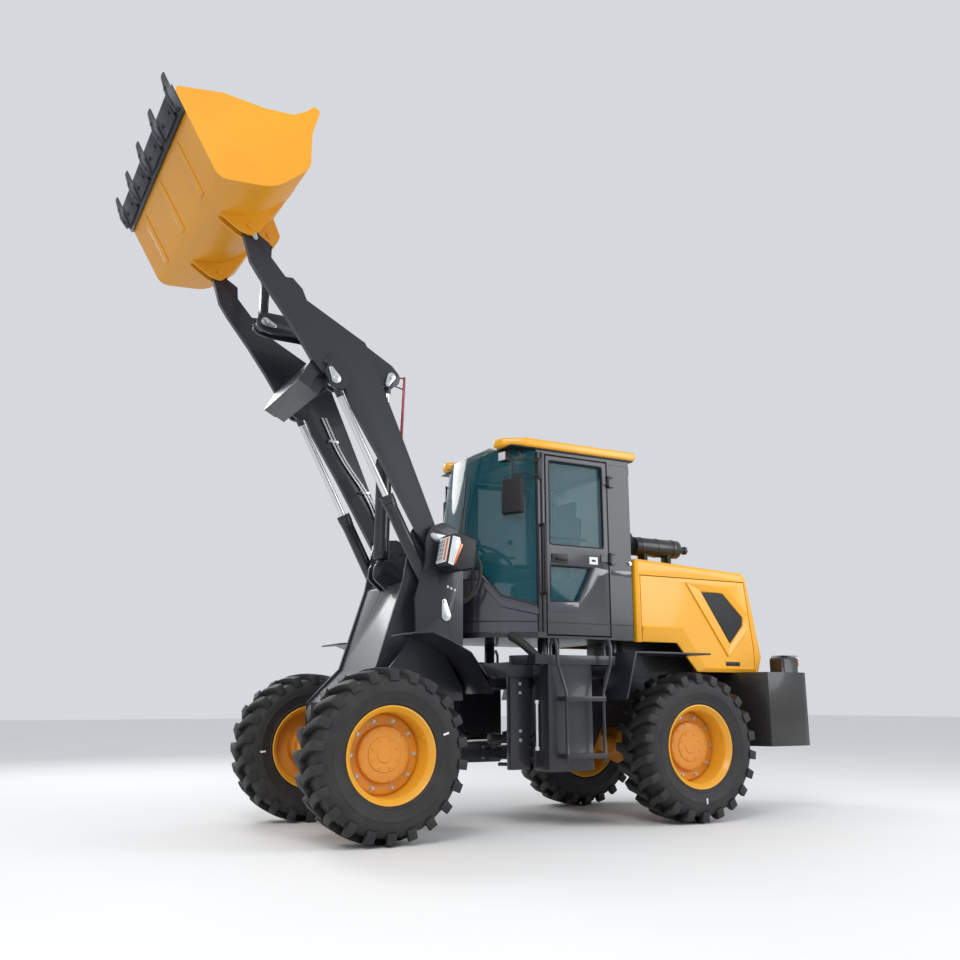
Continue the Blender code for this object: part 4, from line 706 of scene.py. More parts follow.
def buildDoors():
    for side, sign in sides.items():
        body = f"door_{side}_body"
        form, face = Form(), cab["half"]
        for opening in ("upper", "lower"):
            frameLoop(form, cab[opening], face - 0.001, door["bead"])
        rear, front = cab["doorRear"] + door["margin"], cab["doorFront"] - door["margin"]
        low, high = cab["sill"] + door["margin"], cab["head"] - door["margin"]
        frameLoop(form, [(rear, low), (front, low), (front, high), (rear, high)], face - 0.002, 0.004)
        form.block((rear + 0.002, face - 0.001, cab["seam"] - 0.004),
                   (front - 0.002, face + 0.0012, cab["seam"] + 0.004))
        form.block((-1.705, face - 0.001, 2.064), (-1.545, face + 0.006, 2.140), 0.004)
        grip = door["handle"]
        form.block((-1.700, face + 0.012, grip - 0.012), (-1.590, face + 0.026, grip + 0.012), 0.005)
        for x in (-1.690, -1.600):
            form.rod((x, face, grip), (x, face + 0.02, grip), 0.008, 12)
        form.rod((-1.560, face + 0.004, 2.112), (-1.560, face + 0.012, 2.112), door["lock"], 20, edge=0.002)
        form.block((-1.93, face - 0.045, 2.270), (-1.56, face - 0.037, 2.290), 0.003)
        mirrorTo(form, sign)
        form.finished(f"door_trim_{side}", "plastic", "dark_plastic", body)
        # the door sweep is a real raised band; its lighter grey base colour is a painted highlight
        form = Form()
        form.plate(arced(cab["sweep"]), face - 0.002, face + 0.005, 0.003)
        mirrorTo(form, sign)
        form.finished(f"door_sweep_{side}", "fairing", "fairing_paint", body, smooth=50.0)
        form = Form()
        form.block((-2.010, cab["half"] - 0.001, 2.074), (-1.925, cab["half"] + 0.0015, 2.136), 0.001)
        mirrorTo(form, sign)
        form.finished(f"door_label_{side}", "white", "cab_paint", body)
        form = Form()
        form.block((-1.987, cab["half"] + 0.001, 2.096), (-1.948, cab["half"] + 0.0025, 2.114))
        mirrorTo(form, sign)
        form.finished(f"door_label_band_{side}", "plastic", "cab_paint", body)
    print("doors: beads, handles, sweeps and blank labels")


def noseOutline(out=0.0):  # the fairing's left outline from above, pillar first
    return [(cab["front"], cab["half"] + out), (-1.13 + out * 0.6, 0.53 + out * 0.8),
            (-0.985 + out, 0.41 + out * 0.5), (-0.92 + out, 0.22), (-0.92 + out, -0.22),
            (-0.985 + out, -0.41 - out * 0.5), (-1.13 + out * 0.6, -0.53 - out * 0.8),
            (cab["front"], -cab["half"] - out)]


def ribbon(form, heights, out, thick, step=0.0):  # a band round the nose, low and high at each point
    inner, outer = noseOutline(out), noseOutline(out + thick)
    form.lofted([
        [(xi, yi, low), (xo, yo, low + step), (xo, yo, high - step), (xi, yi, high)]
        for (xi, yi), (xo, yo), (low, high) in zip(inner, outer, heights)])


def buildCab():
    form = Form()
    seam = [(cab["seam"] - 0.005, cab["seam"] + 0.005)] * 8
    ribbon(form, seam, -0.001, 0.0028)
    for sign in sides.values():
        low, high = sorted((sign * (cab["half"] - 0.001), sign * (cab["half"] + 0.0015)))
        form.block((cab["rear"], low, cab["seam"] - 0.005), (-2.136, high, cab["seam"] + 0.005))
        form.block((-1.490, low, cab["seam"] - 0.005), (cab["front"], high, cab["seam"] + 0.005))
    form.block((cab["rear"] - 0.0015, -cab["half"], cab["seam"] - 0.005),
               (cab["rear"] + 0.001, cab["half"], cab["seam"] + 0.005))
    sill = [1.70, 1.77, 1.99, 2.01]
    sill += sill[::-1]
    ribbon(form, [(height - 0.004, height + 0.022) for height in sill], -0.016, 0.012)
    form.finished("cab_seams", "plastic", "dark_plastic", "chassis")

    # raised glossy sweep on the fairing, from the nose's top down to the pillar; its lighter grey is a
    # painted highlight
    form = Form()
    top = [(1.628, 1.690), (1.690, 1.762), (1.905, 1.982), (1.928, 2.004)]
    ribbon(form, top + top[::-1], -0.002, 0.012, 0.008)
    form.finished("fairing_sweep", "fairing", "fairing_paint", "chassis", smooth=30.0)

    # the pillar sweeps' lighter grey is a painted highlight as well
    form = Form()
    for sign in sides.values():
        low, high = sorted((sign * (cab["half"] - 0.002), sign * (cab["half"] + 0.005)))
        form.plate(cab["sweepRear"], low, high, 0.003)
    form.finished("pillar_sweep", "fairing", "fairing_paint", "chassis")

    # ribbed door pillar with its grab bar
    form = Form()
    for x in (-1.424, -1.466):
        form.block((x - 0.012, cab["half"] - 0.002, 1.50), (x + 0.012, cab["half"] + 0.012, 2.985), 0.004)
    form.block((-2.352, cab["half"] - 0.002, 2.955), (-2.150, cab["half"] + 0.003, 2.962))
    form.mirrored()
    form.finished("pillar_ribs", "cab", "cab_paint", "chassis")
    form = Form()
    bar = arced([(0.0, 1.80), (0.052, 1.80, 0.035), (0.052, 2.37, 0.035), (0.0, 2.37)], 5)
    form.tube([(-1.452, cab["half"] + 0.006 + out, z) for out, z in bar], 0.013, smooth=False)
    for z in (1.80, 2.37):
        form.rod((-1.452, cab["half"] + 0.008, z), (-1.452, cab["half"] + 0.018, z), 0.022, 16, edge=0.002)
    form.mirrored()
    form.finished("cab_grab_bars", "plastic", "dark_plastic", "chassis")
    print("cab: seams, sweeps, pillars and grab bars")


def buildRoof():
    form = Form()
    # gutter under the roof, and the sun visor between the two horns
    form.block((-2.405, -0.645, 3.004), (-1.165, 0.645, 3.0152), 0.003)
    form.finished("roof_gutter", "plastic", "dark_plastic", "chassis")
    form = Form()
    form.block((-1.255, -0.355, 3.030), (-1.120, 0.355, 3.040), 0.003)
    form.finished("roof_visor", "glass", "tinted_glass", "chassis")
    form = Form()
    form.block((-2.33, -0.52, 3.088), (-1.42, 0.52, 3.098), 0.004)
    for y in (-0.36, -0.12, 0.12, 0.36):
        form.block((-2.25, y - 0.045, 3.094), (-1.50, y + 0.045, 3.106), 0.005)
    form.finished("roof_panel", "yellow", "body_yellow", "chassis")
    lamps, lenses = Form(), Form()
    for sign in sides.values():
        for x, y, turn, way in ((-1.203, 0.472, 12, 1), (-2.400, 0.50, 180, -1)):
            spot = posed((x, y * sign, 2.949), turn * sign)
            lamps.block((-0.035, -0.048, -0.042), (0.030, 0.048, 0.042), 0.007, spot)
            lamps.block((-0.012, -0.058, -0.012), (0.006, 0.058, 0.066), 0.002, spot)
            for fin in range(4):
                z = -0.030 + fin * 0.018
                lamps.block((-0.045, -0.040, z), (-0.033, 0.040, z + 0.006), 0, spot)
            lenses.block((0.029, -0.041, -0.035), (0.034, 0.041, 0.035), 0.002, spot)
    lamps.finished("work_lamps", "plastic", "dark_plastic", "chassis")
    lenses.finished("work_lamp_lenses", "lampGlass", "tinted_glass", "chassis")
    form = Form()
    for sign in sides.values():
        form.rod((-1.32, 0.52 * sign, 2.965), (-1.30, 0.52 * sign, 2.965), 0.034, 24, edge=0.004)
        form.rod((-1.31, 0.52 * sign, 2.965), (-1.31, 0.52 * sign, 3.005), 0.008, 10)
    form.finished("turn_lamps", "amber", "dark_plastic", "chassis")
    print("roof: visor, panel and lamps")


def buildWiper():
    form = Form()
    form.rod((-0.955, 0.10, 2.045), (-0.925, 0.10, 2.050), 0.022, 16, edge=0.002)
    form.tube([(-0.928, 0.10, 2.05), (-0.955, 0.13, 2.32), (-0.975, 0.16, 2.55)], 0.007)
    form.tube([(-0.953, 0.16, 2.30), (-0.982, 0.16, 2.58), (-1.006, 0.16, 2.82)], 0.008, sides=1)
    form.finished("wiper", "plastic", "dark_plastic", "chassis")


# hood
hood = {
    "half": 0.62, "buried": 0.617, "crest": 0.634, "skin": 0.6210, "rows": 34, "columns": 26,
    "vent": [(-3.125, 1.911), (-3.375, 1.906), (-3.603, 1.695), (-3.597, 1.621), (-3.438, 1.452)],
    "wire": 0.0028, "post": 0.0022,
}


def crossings(outline, axis, level):  # where a slat at this level enters and leaves the outline
    found = []
    for first, second in zip(outline, outline[1:] + outline[:1]):
        if (first[axis] - level) * (second[axis] - level) < 0:
            share = (level - first[axis]) / (second[axis] - first[axis])
            found.append(first[1 - axis] + (second[1 - axis] - first[1 - axis]) * share)
    return [sorted(found)] if len(found) == 2 and abs(found[0] - found[1]) > 0.02 else []


def buildHood():
    for side, sign in sides.items():
        body = f"hood_panel_{side}_body"
        middle = Vector((sum(p[0] for p in hood["vent"]) / 5, sum(p[1] for p in hood["vent"]) / 5))
        form = Form()
        shrunk = [tuple(middle + (Vector(p) - middle) * 0.965) for p in hood["vent"]]
        form.plate(shrunk, hood["half"] - 0.0098, hood["half"] - 0.0040, 0.001)
        face, wire, post = hood["half"], hood["wire"], hood["post"]
        for row in range(hood["rows"]):
            z = 1.47 + (1.90 - 1.47) * row / (hood["rows"] - 1)
            for start, end in crossings(shrunk, 1, z):
                form.block((start, face - 0.005, z - wire), (end, face - 0.0012, z + wire))
        low, high = min(p[0] for p in shrunk), max(p[0] for p in shrunk)
        for column in range(1, hood["columns"]):
            x = low + (high - low) * column / hood["columns"]
            for start, end in crossings(shrunk, 0, x):
                form.block((x - post, face - 0.005, start), (x + post, face - 0.0020, end))
        mirrorTo(form, sign)
        form.finished(f"vent_mesh_{side}", "plastic", "dark_plastic", body)

        form = Form()
        form.block((-3.535, hood["half"] - 0.001, 1.262), (-3.375, hood["half"] + 0.006, 1.298), 0.003)
        for x in (-3.505, -3.405):
            form.rod((x, hood["half"], 1.280), (x, hood["half"] + 0.011, 1.280), 0.013, 16, edge=0.002)
        mirrorTo(form, sign)
        form.finished(f"hood_latches_{side}", "plastic", "dark_plastic", body)
    form = Form()
    for sign in sides.values():
        form.rod((-2.340, 0.628 * sign, 2.105), (-2.340, 0.640 * sign, 2.105), 0.018, 6)
        form.rod((-2.340, 0.640 * sign, 2.105), (-2.340, 0.652 * sign, 2.105), 0.009, 12)
    form.finished("hood_pins", "zinc", "dark_steel", "chassis")
    # rear grille
    form = Form()
    for row in range(16):
        z = 1.41 + row * 0.031
        x = -3.812 + max(0.0, (z - 1.35)) * 0.197
        form.block((x - 0.004, -0.435, z), (x + 0.010, 0.435, z + 0.012), 0.002)
    form.plate([(-3.795, 1.40), (-3.697, 1.90), (-3.690, 1.90), (-3.788, 1.40)], -0.43, 0.43)
    form.finished("rear_grille", "plastic", "dark_plastic", "chassis")
    print("hood: vents, latches, pins and the rear grille")


# seat
cushions = {"seat_cushion": 0.012, "seat_back": 0.012}


def buildCushion(node, inset):
    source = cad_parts[node]
    low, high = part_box(node)
    centre = (low + high) / 2
    size = high - low
    form = Form()
    form.mesh.from_mesh(source.data)
    bmesh.ops.remove_doubles(form.mesh, verts=form.mesh.verts, dist=0.00005)
    shrink = Matrix.Diagonal((*[1 - 2 * inset / side for side in size], 1))
    form.mesh.transform(Matrix.Translation(centre) @ shrink @ Matrix.Translation(-centre))
    pad = form.finished(f"{node}_pad", "cloth", "seat_fabric", "chassis", (node,), 70.0, moved=False)
    bpy.context.view_layer.objects.active = pad
    remesh = pad.modifiers.new("remesh", "REMESH")
    remesh.mode = "VOXEL"
    remesh.voxel_size = 0.006
    bpy.ops.object.modifier_apply(modifier=remesh.name)
    before = [vert.co.copy() for vert in pad.data.vertices]
    cloth = pad.modifiers.new("cloth", "CLOTH")
    cloth.settings.use_pressure = True
    cloth.settings.uniform_pressure_force = 4.0
    cloth.settings.effector_weights.gravity = 0.0
    scene = bpy.context.scene
    cloth.point_cache.frame_start, cloth.point_cache.frame_end = 1, 20
    for number in range(1, 21):
        scene.frame_set(number)
    bpy.ops.object.modifier_apply(modifier=cloth.name)
    scene.frame_set(1)
    for vert, start in zip(pad.data.vertices, before):
        shift = vert.co - start
        if shift.length > inset:
            vert.co = start + shift * (inset / shift.length)
    # sewn channels, pressed in across the face
    across = 0 if node == "seat_cushion" else 2
    face = 2 if node == "seat_cushion" else 0
    for vert in pad.data.vertices:
        share = (vert.co[across] - low[across]) / size[across]
        front = max(0.0, (vert.co[face] - centre[face]) / (size[face] / 2))
        side = abs(vert.co.y - centre.y)
        groove = sum(math.exp(-((share - line) * size[across] / 0.007) ** 2) for line in (0.30, 0.50, 0.70))
        groove *= 1.0 if side < 0.15 else 0.0
        welt = math.exp(-((side - 0.155) / 0.006) ** 2)
        vert.co[face] -= front * (groove + welt) * 0.007
    smoother = pad.modifiers.new("smoother", "SUBSURF")
    smoother.levels = smoother.render_levels = 1
    pad.data.shade_smooth()


def buildSeat():
    for node, inset in cushions.items():
        buildCushion(node, inset)
    form = Form()
    for y in (-0.268, 0.268):
        low, high = sorted((y - 0.022, y + 0.022))
        form.block((-2.06, low, 2.135), (-1.72, high, 2.170), 0.012)
        form.block((-2.075, low + 0.008, 2.02), (-2.030, high - 0.008, 2.150), 0.006)
    form.block((-2.02, 0.285, 1.70), (-1.60, 0.345, 1.98), 0.02)
    for x in (-1.66, -1.74):
        form.rod((x, 0.315, 1.975), (x, 0.315, 2.045), 0.008, 12)
        form.ball((x, 0.315, 2.05), 0.02)
    form.finished("seat_arms", "seatShell", "dark_plastic", "chassis")
    print("seat: cushion and back, arms and levers")


def flankBand(form):  # the hood's lower edge turns under: a raised line that slopes in
    upper = [(-2.460, 1.572), (-2.90, 1.572), (-3.13, 1.238), (-3.700, 1.236)]
    lower = [(-2.460, 1.452), (-2.83, 1.452), (-3.043, 1.210), (-3.708, 1.210)]
    form.lofted([
        [(xu, hood["buried"], zu + 0.012), (xu, hood["crest"], zu), (xl, hood["skin"], zl), (xl, 0.610, zl)]
        for (xu, zu), (xl, zl) in zip(upper, lower)])


def ventSurround(form):  # a pressed frame that falls in toward the vent
    outer = [(-2.94, 1.985), (-3.42, 1.958), (-3.665, 1.720), (-3.650, 1.585), (-3.400, 1.335)]
    middle = Vector((-3.43, 1.717))
    ridge = [tuple(middle + (Vector(p) - middle) * 0.965) for p in outer]
    inner = [tuple(middle + (Vector(p) - middle) * 1.035) for p in hood["vent"]]
    form.lofted([
        [(x, y, z) for x, z in loop]
        for loop, y in ((outer, hood["buried"]), (ridge, 0.633), (inner, 0.6212), (inner, 0.612))], True)


def buildFlanks():
    for side, sign in sides.items():
        form = Form()
        flankBand(form)
        ventSurround(form)
        mirrorTo(form, sign)
        form.finished(f"hood_flank_{side}", "yellow", "body_yellow", f"hood_panel_{side}_body", smooth=12.0)
    print("hood flanks: turned edge and vent surround")


# front frame, arms and bucket
pins = {
    "boom": (-0.590, 2.185), "lift": (-0.626, 1.599), "eye": (0.319, 3.376),
    "tip": (-0.332, 3.629), "foot": (0.767, 3.915), "hinge": (1.030, 4.480),
}


def keeper(form, pin, reach, turn, radius=0.036, tail=0.085):  # a flag that stops a pin from turning
    x, z = pin
    way = Vector((math.cos(math.radians(turn)), math.sin(math.radians(turn))))
    end = Vector((x, z)) + way * tail
    side = way.orthogonal().normalized()
    outline = []
    for middle, size, steps in ((Vector((x, z)), radius, 12), (end, -radius * 0.5, 8)):
        for step in range(steps + 1):
            angle = math.pi * step / steps
            outline.append(tuple(middle + (side * math.cos(angle) - way * math.sin(angle)) * size))
    form.plate(outline, reach, reach + 0.009, 0.0015)
    form.rod((x, reach, z), (x, reach + 0.016, z), radius * 0.62, 24, edge=0.002)
    form.bolt((end.x, reach + 0.009, end.y), (0, 1, 0), 0.009)


def buildKeepers():
    form = Form()
    keeper(form, pins["boom"], 0.5475, 20, 0.044, 0.090)
    keeper(form, pins["lift"], 0.5475, 80, 0.040, 0.110)
    for step in range(3):
        form.bolt((-0.700 + 0.030 * step, 0.5475, 1.800 + 0.012 * step), (0, 1, 0), 0.010)
    form.mirrored()
    form.finished("frame_keepers", "zinc", "chrome_rod", "front_body")
    form = Form()
    keeper(form, pins["eye"], 0.524, 60, 0.038, 0.085)
    keeper(form, pins["hinge"], 0.4905, -118, 0.034, 0.085)
    form.mirrored()
    form.finished("boom_keepers", "zinc", "chrome_rod", "boom_body")
    form = Form()
    keeper(form, pins["tip"], 0.0775, -65, 0.036, 0.080)
    keeper(form, pins["foot"], 0.0775, 200, 0.034, 0.080)
    form.mirrored()
    form.finished("rocker_keepers", "zinc", "chrome_rod", "rocker_body")
    print("pins: keepers and bolts")


def buildGauge():  # a red rod beside the tilt cylinder shows when the bucket is level
    form = Form()
    form.rod((-0.485, 0, 3.670), (-0.467, 0, 3.110), 0.013, 16, edge=0.002)
    form.finished("level_rod", "red", "charcoal_paint", "tilt_rod_body")
    form = Form()
    form.rod((-0.345, 0, 3.650), (-0.487, 0, 3.662), 0.006, 10)
    form.rod((-0.345, 0, 3.590), (-0.484, 0, 3.560), 0.006, 10)
    form.finished("level_rod_arms", "steel", "dark_steel", "tilt_rod_body")


def buildHoses():
    form = Form()
    for shift in (0.0, 0.030):  # steel lines up each arm
        form.tube([
            (-0.50 + shift, 0.425, 2.36), (-0.40 + shift, 0.425, 2.62), (-0.10 + shift, 0.425, 3.04),
            (0.06 + shift, 0.425, 3.34)], 0.0085)
    for x, z in ((-0.33, 2.72), (-0.03, 3.14)):
        form.block((x - 0.030, 0.415, z - 0.012), (x + 0.060, 0.440, z + 0.012), 0.002)
    form.mirrored()
    form.finished("arm_lines", "chrome", "chrome_rod", "boom_body")
    form = Form()
    for y in (0.30, 0.34):  # steel lines down the tower
        form.tube([(-0.74, y, 2.06), (-0.745, y, 1.86), (-0.745, y, 1.62), (-0.76, y, 1.44)], 0.0085)
    form.mirrored()
    form.finished("tower_lines", "chrome", "chrome_rod", "front_body")
    form = Form()
    for side in (1, -1):
        for index, reach in enumerate((0.0, 0.045)):
            form.tube([
                (-0.74, side * (0.40 + reach), 2.05), (-0.86 - reach, side * (0.45 + reach), 2.09),
                (-0.90 - reach, side * (0.47 + reach), 1.92), (-0.84, side * (0.46 + reach), 1.74),
                (-0.76, side * (0.42 + reach), 1.70)], 0.015)
    form.finished("tower_hoses", "hose", "dark_plastic", "front_body")
    form = Form()
    for side in (1, -1):
        for reach in (0.0, 0.045):
            for (x0, y0, z0), (x1, y1, z1) in (
                    ((-0.790, 0.430, 1.712), (-0.745, 0.414, 1.699)),
                    ((-0.775, 0.410, 2.062), (-0.725, 0.396, 2.045))):
                form.rod((x0, side * (y0 + reach), z0), (x1, side * (y1 + reach), z1), 0.019, 6)
    form.finished("hose_fittings", "zinc", "chrome_rod", "front_body")
    print("hoses: arm and tower lines")


tooth = {"lip": (1.745, 5.108), "heel": (1.407, 4.529), "half": 1.02, "width": 0.07,
         "sections": [(0.045, 0.031, 0.010, 0.052), (0.150, 0.015, 0.012, 0.022)]}


def buildBucket():
    lip, heel = Vector(tooth["lip"]), Vector(tooth["heel"])
    out = (lip - heel).normalized()
    down = Vector((out.y, -out.x))
    half, width = tooth["half"], tooth["width"]
    form = Form()
    base = lip + down * 0.0006
    for gap in range(4):  # bolt-on edge plates between the teeth
        centre = -half + width / 2 + (gap + 0.5) * (2 * half - width) / 4
        reach = (2 * half - width) / 8 - width / 2 - 0.045
        corners = [
            base - out * 0.13 + down * 0.022, base + out * 0.042 + down * 0.022,
            base + out * 0.028 + down * 0.040, base - out * 0.13 + down * 0.040]
        form.plate([tuple(p) for p in corners], centre - reach, centre + reach, 0.003)
        for bolt in (-0.6, 0.6):
            spot = base - out * 0.06 + down * 0.040
            form.bolt((spot.x, centre + reach * bolt, spot.y), (down.x, 0, down.y), 0.016)
    for number in range(5):  # pointed caps and bolts on the teeth
        y = -half + width / 2 + number * (2 * half - width) / 4
        y -= math.copysign(0.0016, y) if number in (0, 4) else 0
        rings = []
        for along, wide, low, high in tooth["sections"]:
            spot = base + out * along
            rings.append([
                (spot.x + down.x * h, y + w, spot.y + down.y * h)
                for w, h in ((-wide, low), (wide, low), (wide, high), (-wide, high))])
        form.lofted(rings, edge=0.003)
        spot = base - out * 0.07 + down * 0.050
        form.bolt((spot.x, y, spot.y), (down.x, 0, down.y), 0.015)
    form.finished("edge_plates", "castSteel", "dark_steel", "bucket_body")
    form = Form()  # wear strips under the floor
    for y in (-0.62, 0.0, 0.62):
        corners = [heel + out * 0.05 + down * 0.0005, lip - out * 0.20 + down * 0.0005,
                   lip - out * 0.21 + down * 0.008, heel + out * 0.06 + down * 0.008]
        form.plate([tuple(p) for p in corners], y - 0.045, y + 0.045, 0.002)
    form.finished("wear_strips", "bucketYellow", "bucket_yellow", "bucket_body")
    form = Form()
    for y in (0.436, 0.494):
        form.rod((1.030, y - 0.006, 4.480), (1.030, y + 0.006, 4.480), 0.030, 24)
    form.mirrored()
    form.finished("bucket_pins", "zinc", "chrome_rod", "bucket_body")
    print("bucket: edge plates, teeth caps and wear strips")


def buildHeadlights():
    lamp = Form()
    trim = Form()
    amber = Form()
    dots = Form()
    face = [(-0.545, 2.20), (-0.50, 1.96)]
    way = (Vector(face[1]) - Vector(face[0])).normalized()
    normal = Vector((-way.y, way.x))
    turn = Matrix((
        (normal.x, 0, way.x, (face[0][0] + face[1][0]) / 2), (0, 1, 0, 0),
        (normal.y, 0, way.y, (face[0][1] + face[1][1]) / 2), (0, 0, 0, 1)))
    trim.block((-0.002, 0.618, -0.100), (0.005, 0.784, 0.100), 0.003, turn)
    lamp.block((0.002, 0.628, -0.088), (0.010, 0.742, 0.088), 0.004, turn)
    for row in range(5):
        for column in range(3):
            y, z = 0.650 + column * 0.034, -0.066 + row * 0.033
            dots.block((0.008, y - 0.012, z - 0.012), (0.0125, y + 0.012, z + 0.012), 0.002, turn)
    amber.block((0.002, 0.748, -0.088), (0.010, 0.776, 0.088), 0.004, turn)
    # the lens wraps onto the outer side
    trim.plate([
        (-0.556, 2.182), (-0.516, 1.968), (-0.560, 1.955), (-0.625, 2.115), (-0.615, 2.172)],
        0.798, 0.8035, 0.002)
    lamp.plate([
        (-0.563, 2.172), (-0.527, 1.985), (-0.555, 1.978), (-0.608, 2.112), (-0.602, 2.163)],
        0.800, 0.8060, 0.002)
    amber.plate([(-0.560, 1.972), (-0.575, 1.968), (-0.640, 2.118), (-0.622, 2.130)], 0.798, 0.8055, 0.002)
    for form, name, finish in (
            (trim, "headlight_trim", "white"), (lamp, "headlight_lens", "lampGlass"),
            (amber, "headlight_amber", "amber"), (dots, "headlight_cells", "zinc")):
        form.mirrored()
        form.finished(name, finish, "dark_plastic", "front_body")
    print("headlights: lens, cells and amber")


def buildMirrors():
    form = Form()
    for sign in (1, -1):
        turn = posed((-1.20, 0.605 * sign, 0), 30 * sign)
        form.block((-0.0245, -0.088, 2.455), (-0.0215, 0.088, 2.732), 0.001, turn)
    form.finished("mirror_glass", "glass", "tinted_glass", "chassis")


def buildChassis():
    form = Form()
    for z in (0.66, 0.73, 1.02, 1.09):
        form.bolt((-1.2525, 0.6005, z), (0, 1, 0), 0.013)
    form.mirrored()
    form.finished("column_bolts", "zinc", "chrome_rod", "chassis")
    form = Form()
    form.tube([(-1.36, 0.76, 1.255), (-1.30, 0.74, 1.315), (-1.24, 0.66, 1.40), (-1.20, 0.56, 1.46)], 0.034)
    form.rod((-1.375, 0.765, 1.235), (-1.345, 0.755, 1.272), 0.042, 20, edge=0.003)
    form.finished("filler_hose", "hose", "dark_plastic", "chassis")
    form = Form()
    form.rod((-1.345, 0.70, 0.60), (-1.345, 0.70, 0.95), 0.010, 12)
    for z in (0.60, 0.95):
        form.rod((-1.345, 0.70, z - 0.014), (-1.345, 0.70, z + 0.014), 0.016, 6)
    form.finished("level_tube", "white", "dark_plastic", "chassis")
    form = Form()
    form.rod((-1.170, 0.40, 0.475), (-1.440, 0.40, 0.462), 0.014, 14, edge=0.002)
    form.finished("lock_bar", "steel", "dark_steel", "chassis")
    print("chassis: bolts, hose, lock bar and the level tube")


def buildRear():
    lamps, amber, cases = Form(), Form(), Form()
    for sign in sides.values():
        y = 0.71 * sign
        cases.block((-4.092, y - 0.072, 1.353), (-3.900, y + 0.072, 1.358), 0.002)
        for form, near in ((lamps, 0.632), (amber, 0.714)):
            spread = sorted((sign * near, sign * (near + 0.074)))
            form.block((-4.089, spread[0], 1.262), (-4.079, spread[1], 1.332), 0.004)
    lamps.finished("tail_lamps", "redLens", "dark_plastic", "chassis")
    amber.finished("tail_turn_lamps", "amber", "dark_plastic", "chassis")
    form = cases
    form.rod((-4.158, -0.055, 0.80), (-4.148, -0.055, 0.80), 0.030, 24, edge=0.002)
    form.finished("weight_caps", "plastic", "dark_plastic", "chassis")
    form = Form()
    form.ball((-2.765, -0.03, 2.497), 0.085, (1, 1, 0.35), 28)
    for step in range(20):  # louvres round the pre-cleaner
        angle = math.tau * step / 20
        spot = Matrix.Translation((-2.765, -0.03, 2.41)) @ Matrix.Rotation(angle, 4, "Z")
        form.block((0.098, -0.004, -0.030), (0.112, 0.004, 0.030), 0.0015, spot)
    form.finished("cleaner_cap", "plastic", "dark_plastic", "chassis")
    form = Form()
    for x in (-3.10, -2.92, -2.74):
        form.turned([(0.0855, -0.012), (0.0885, -0.010), (0.0885, 0.010), (0.0855, 0.012)],
                    posed((x, 0.25, 2.335), 90, "Y"), 40, closed=True)
    form.turned([(0.033, 0.0), (0.038, 0.002), (0.038, 0.030), (0.033, 0.032)],
                posed((-3.285, 0.25, 2.335), 90, "Y"), 28, closed=True)
    form.finished("muffler_bands", "steel", "dark_steel", "chassis")
    print("rear: lamps, caps, pre-cleaner and muffler bands")


def buildDash():
    form = Form()
    form.block((-1.36, -0.14, 2.150), (-1.24, 0.14, 2.196), 0.02)
    form.tube([(-1.43, -0.24, 1.49), (-1.45, -0.26, 1.75), (-1.47, -0.27, 1.92)], 0.010)
    form.ball((-1.47, -0.27, 1.935), 0.024)
    for y in (-0.16, -0.05, 0.16):
        form.block((-1.45, y - 0.035, 1.50), (-1.42, y + 0.035, 1.62), 0.006)
    form.ball((-1.43, 0.165, 2.285), 0.022)
    form.finished("cab_controls", "seatShell", "dark_plastic", "chassis")
    form = Form()
    form.block((-1.364, -0.115, 2.100), (-1.358, 0.115, 2.150), 0.002)
    form.finished("dash_screen", "glass", "tinted_glass", "chassis")


# all together
finishes = buildFinishes()
buildStudio()
buildWheels()
buildCylinders()
buildDoors()
buildCab()
buildRoof()
buildWiper()
buildHood()
buildFlanks()
buildSeat()
buildKeepers()
buildGauge()
buildHoses()
buildBucket()
buildHeadlights()
buildMirrors()
buildChassis()
buildRear()
buildDash()

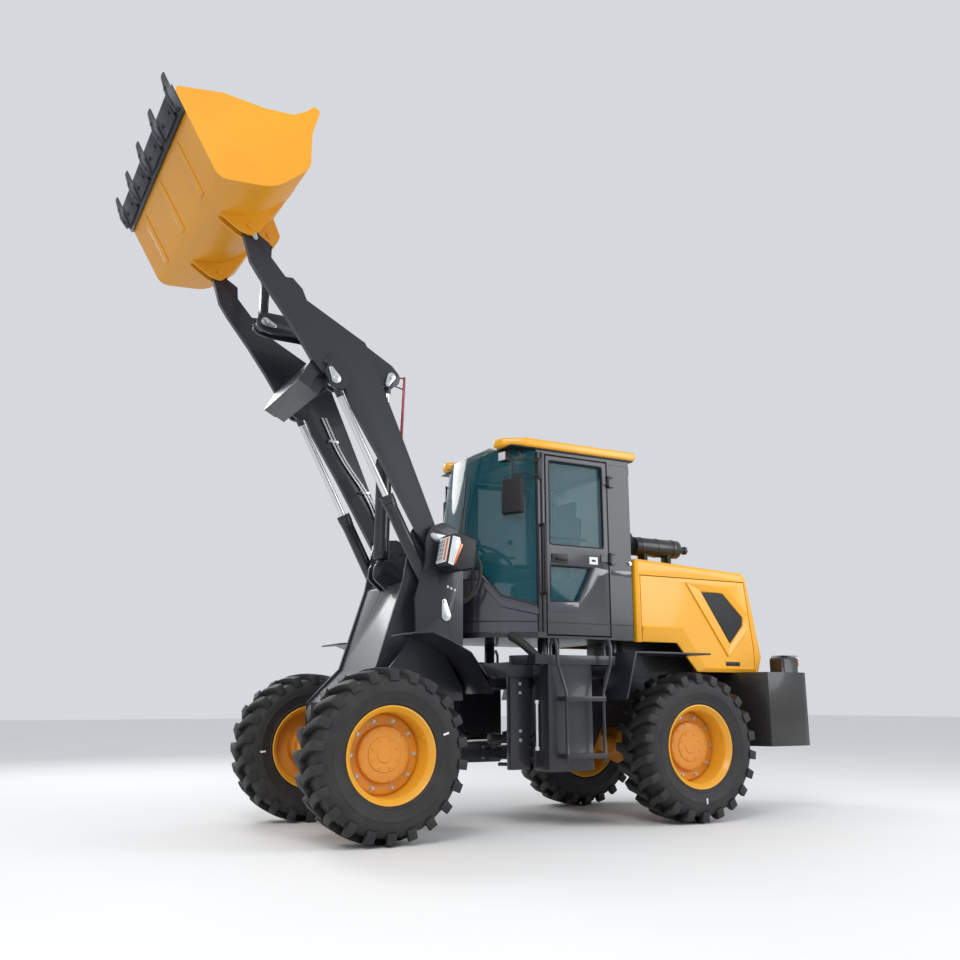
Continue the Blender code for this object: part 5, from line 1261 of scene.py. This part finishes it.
plainNodes = {
    "front_frame": (0.003, "charcoal", "charcoal_paint", "front_body", 24.0),
    "boom": (0.004, "charcoal", "charcoal_paint", "boom_body", 24.0),
    "rocker": (0.003, "charcoal", "charcoal_paint", "rocker_body"),
    "bucket_link": (0.003, "charcoal", "charcoal_paint", "link_body"),
    "bucket": (0.003, "bucketYellow", "bucket_yellow", "bucket_body", 18.0),
    "cutting_edge": (0.002, "castSteel", "dark_steel", "bucket_body"),
    "front_axle": (0.003, "hubOrange", "axle_orange", "front_body"),
    "rear_axle": (0.003, "hubOrange", "axle_orange", "chassis"),
    "rear_frame": (0.003, "charcoal", "charcoal_paint", "chassis"),
    "counterweight": (0.008, "black", "weight_black", "chassis"),
    "hood": (0.006, "yellow", "body_yellow", "chassis", 16.0),
    "engine_block": (0.004, "steel", "dark_steel", "chassis"),
    "muffler": (0.002, "black", "dark_steel", "chassis"),
    "air_cleaner": (0.002, "plastic", "dark_plastic", "chassis"),
    "fuel_tank": (0.003, "charcoal", "charcoal_paint", "chassis"),
    "hydraulic_tank": (0.003, "charcoal", "charcoal_paint", "chassis"),
    "cab_shell": (0.004, "cab", "cab_paint", "chassis", 16.0),
    "cab_roof": (0.006, "yellow", "body_yellow", "chassis", 20.0),
    # the front fairing takes the lighter grey finish, a painted highlight on the glossy dark paint
    "front_fairing": (0.004, "fairing", "fairing_paint", "chassis", 16.0),
    "windshield": (0, "glass", "tinted_glass", "chassis"),
    "rear_window": (0, "glass", "tinted_glass", "chassis"),
    "dashboard": (0.004, "plastic", "dark_plastic", "chassis"),
    "seat_base": (0.004, "seatShell", "dark_plastic", "chassis"),
    "steering_wheel": (0, "plastic", "dark_plastic", "chassis"),
}
for side in sides:
    plainNodes |= {
        f"front_fender_{side}": (0.003, "charcoal", "charcoal_paint", "front_body"),
        f"rear_fender_{side}": (0.003, "charcoal", "charcoal_paint", "chassis"),
        f"headlight_{side}": (0.006, "plastic", "dark_plastic", "front_body"),
        f"mirror_{side}": (0.002, "plastic", "dark_plastic", "chassis"),
        f"cab_door_{side}": (0.003, "cab", "cab_paint", f"door_{side}_body", 16.0),
        f"door_glass_{side}": (0, "glass", "tinted_glass", f"door_{side}_body"),
        f"hood_panel_{side}": (0.004, "yellow", "body_yellow", f"hood_panel_{side}_body", 16.0),
        f"steer_barrel_{side}": (0.001, "steel", "dark_steel", f"steer_barrel_{side}_body"),
        f"steer_rod_{side}": (0.001, "chrome", "chrome_rod", f"steer_rod_{side}_body"),
    }
for node, settings in plainNodes.items():
    refined(node, *settings)
print("frame nodes: edges rounded and painted on", len(plainNodes))
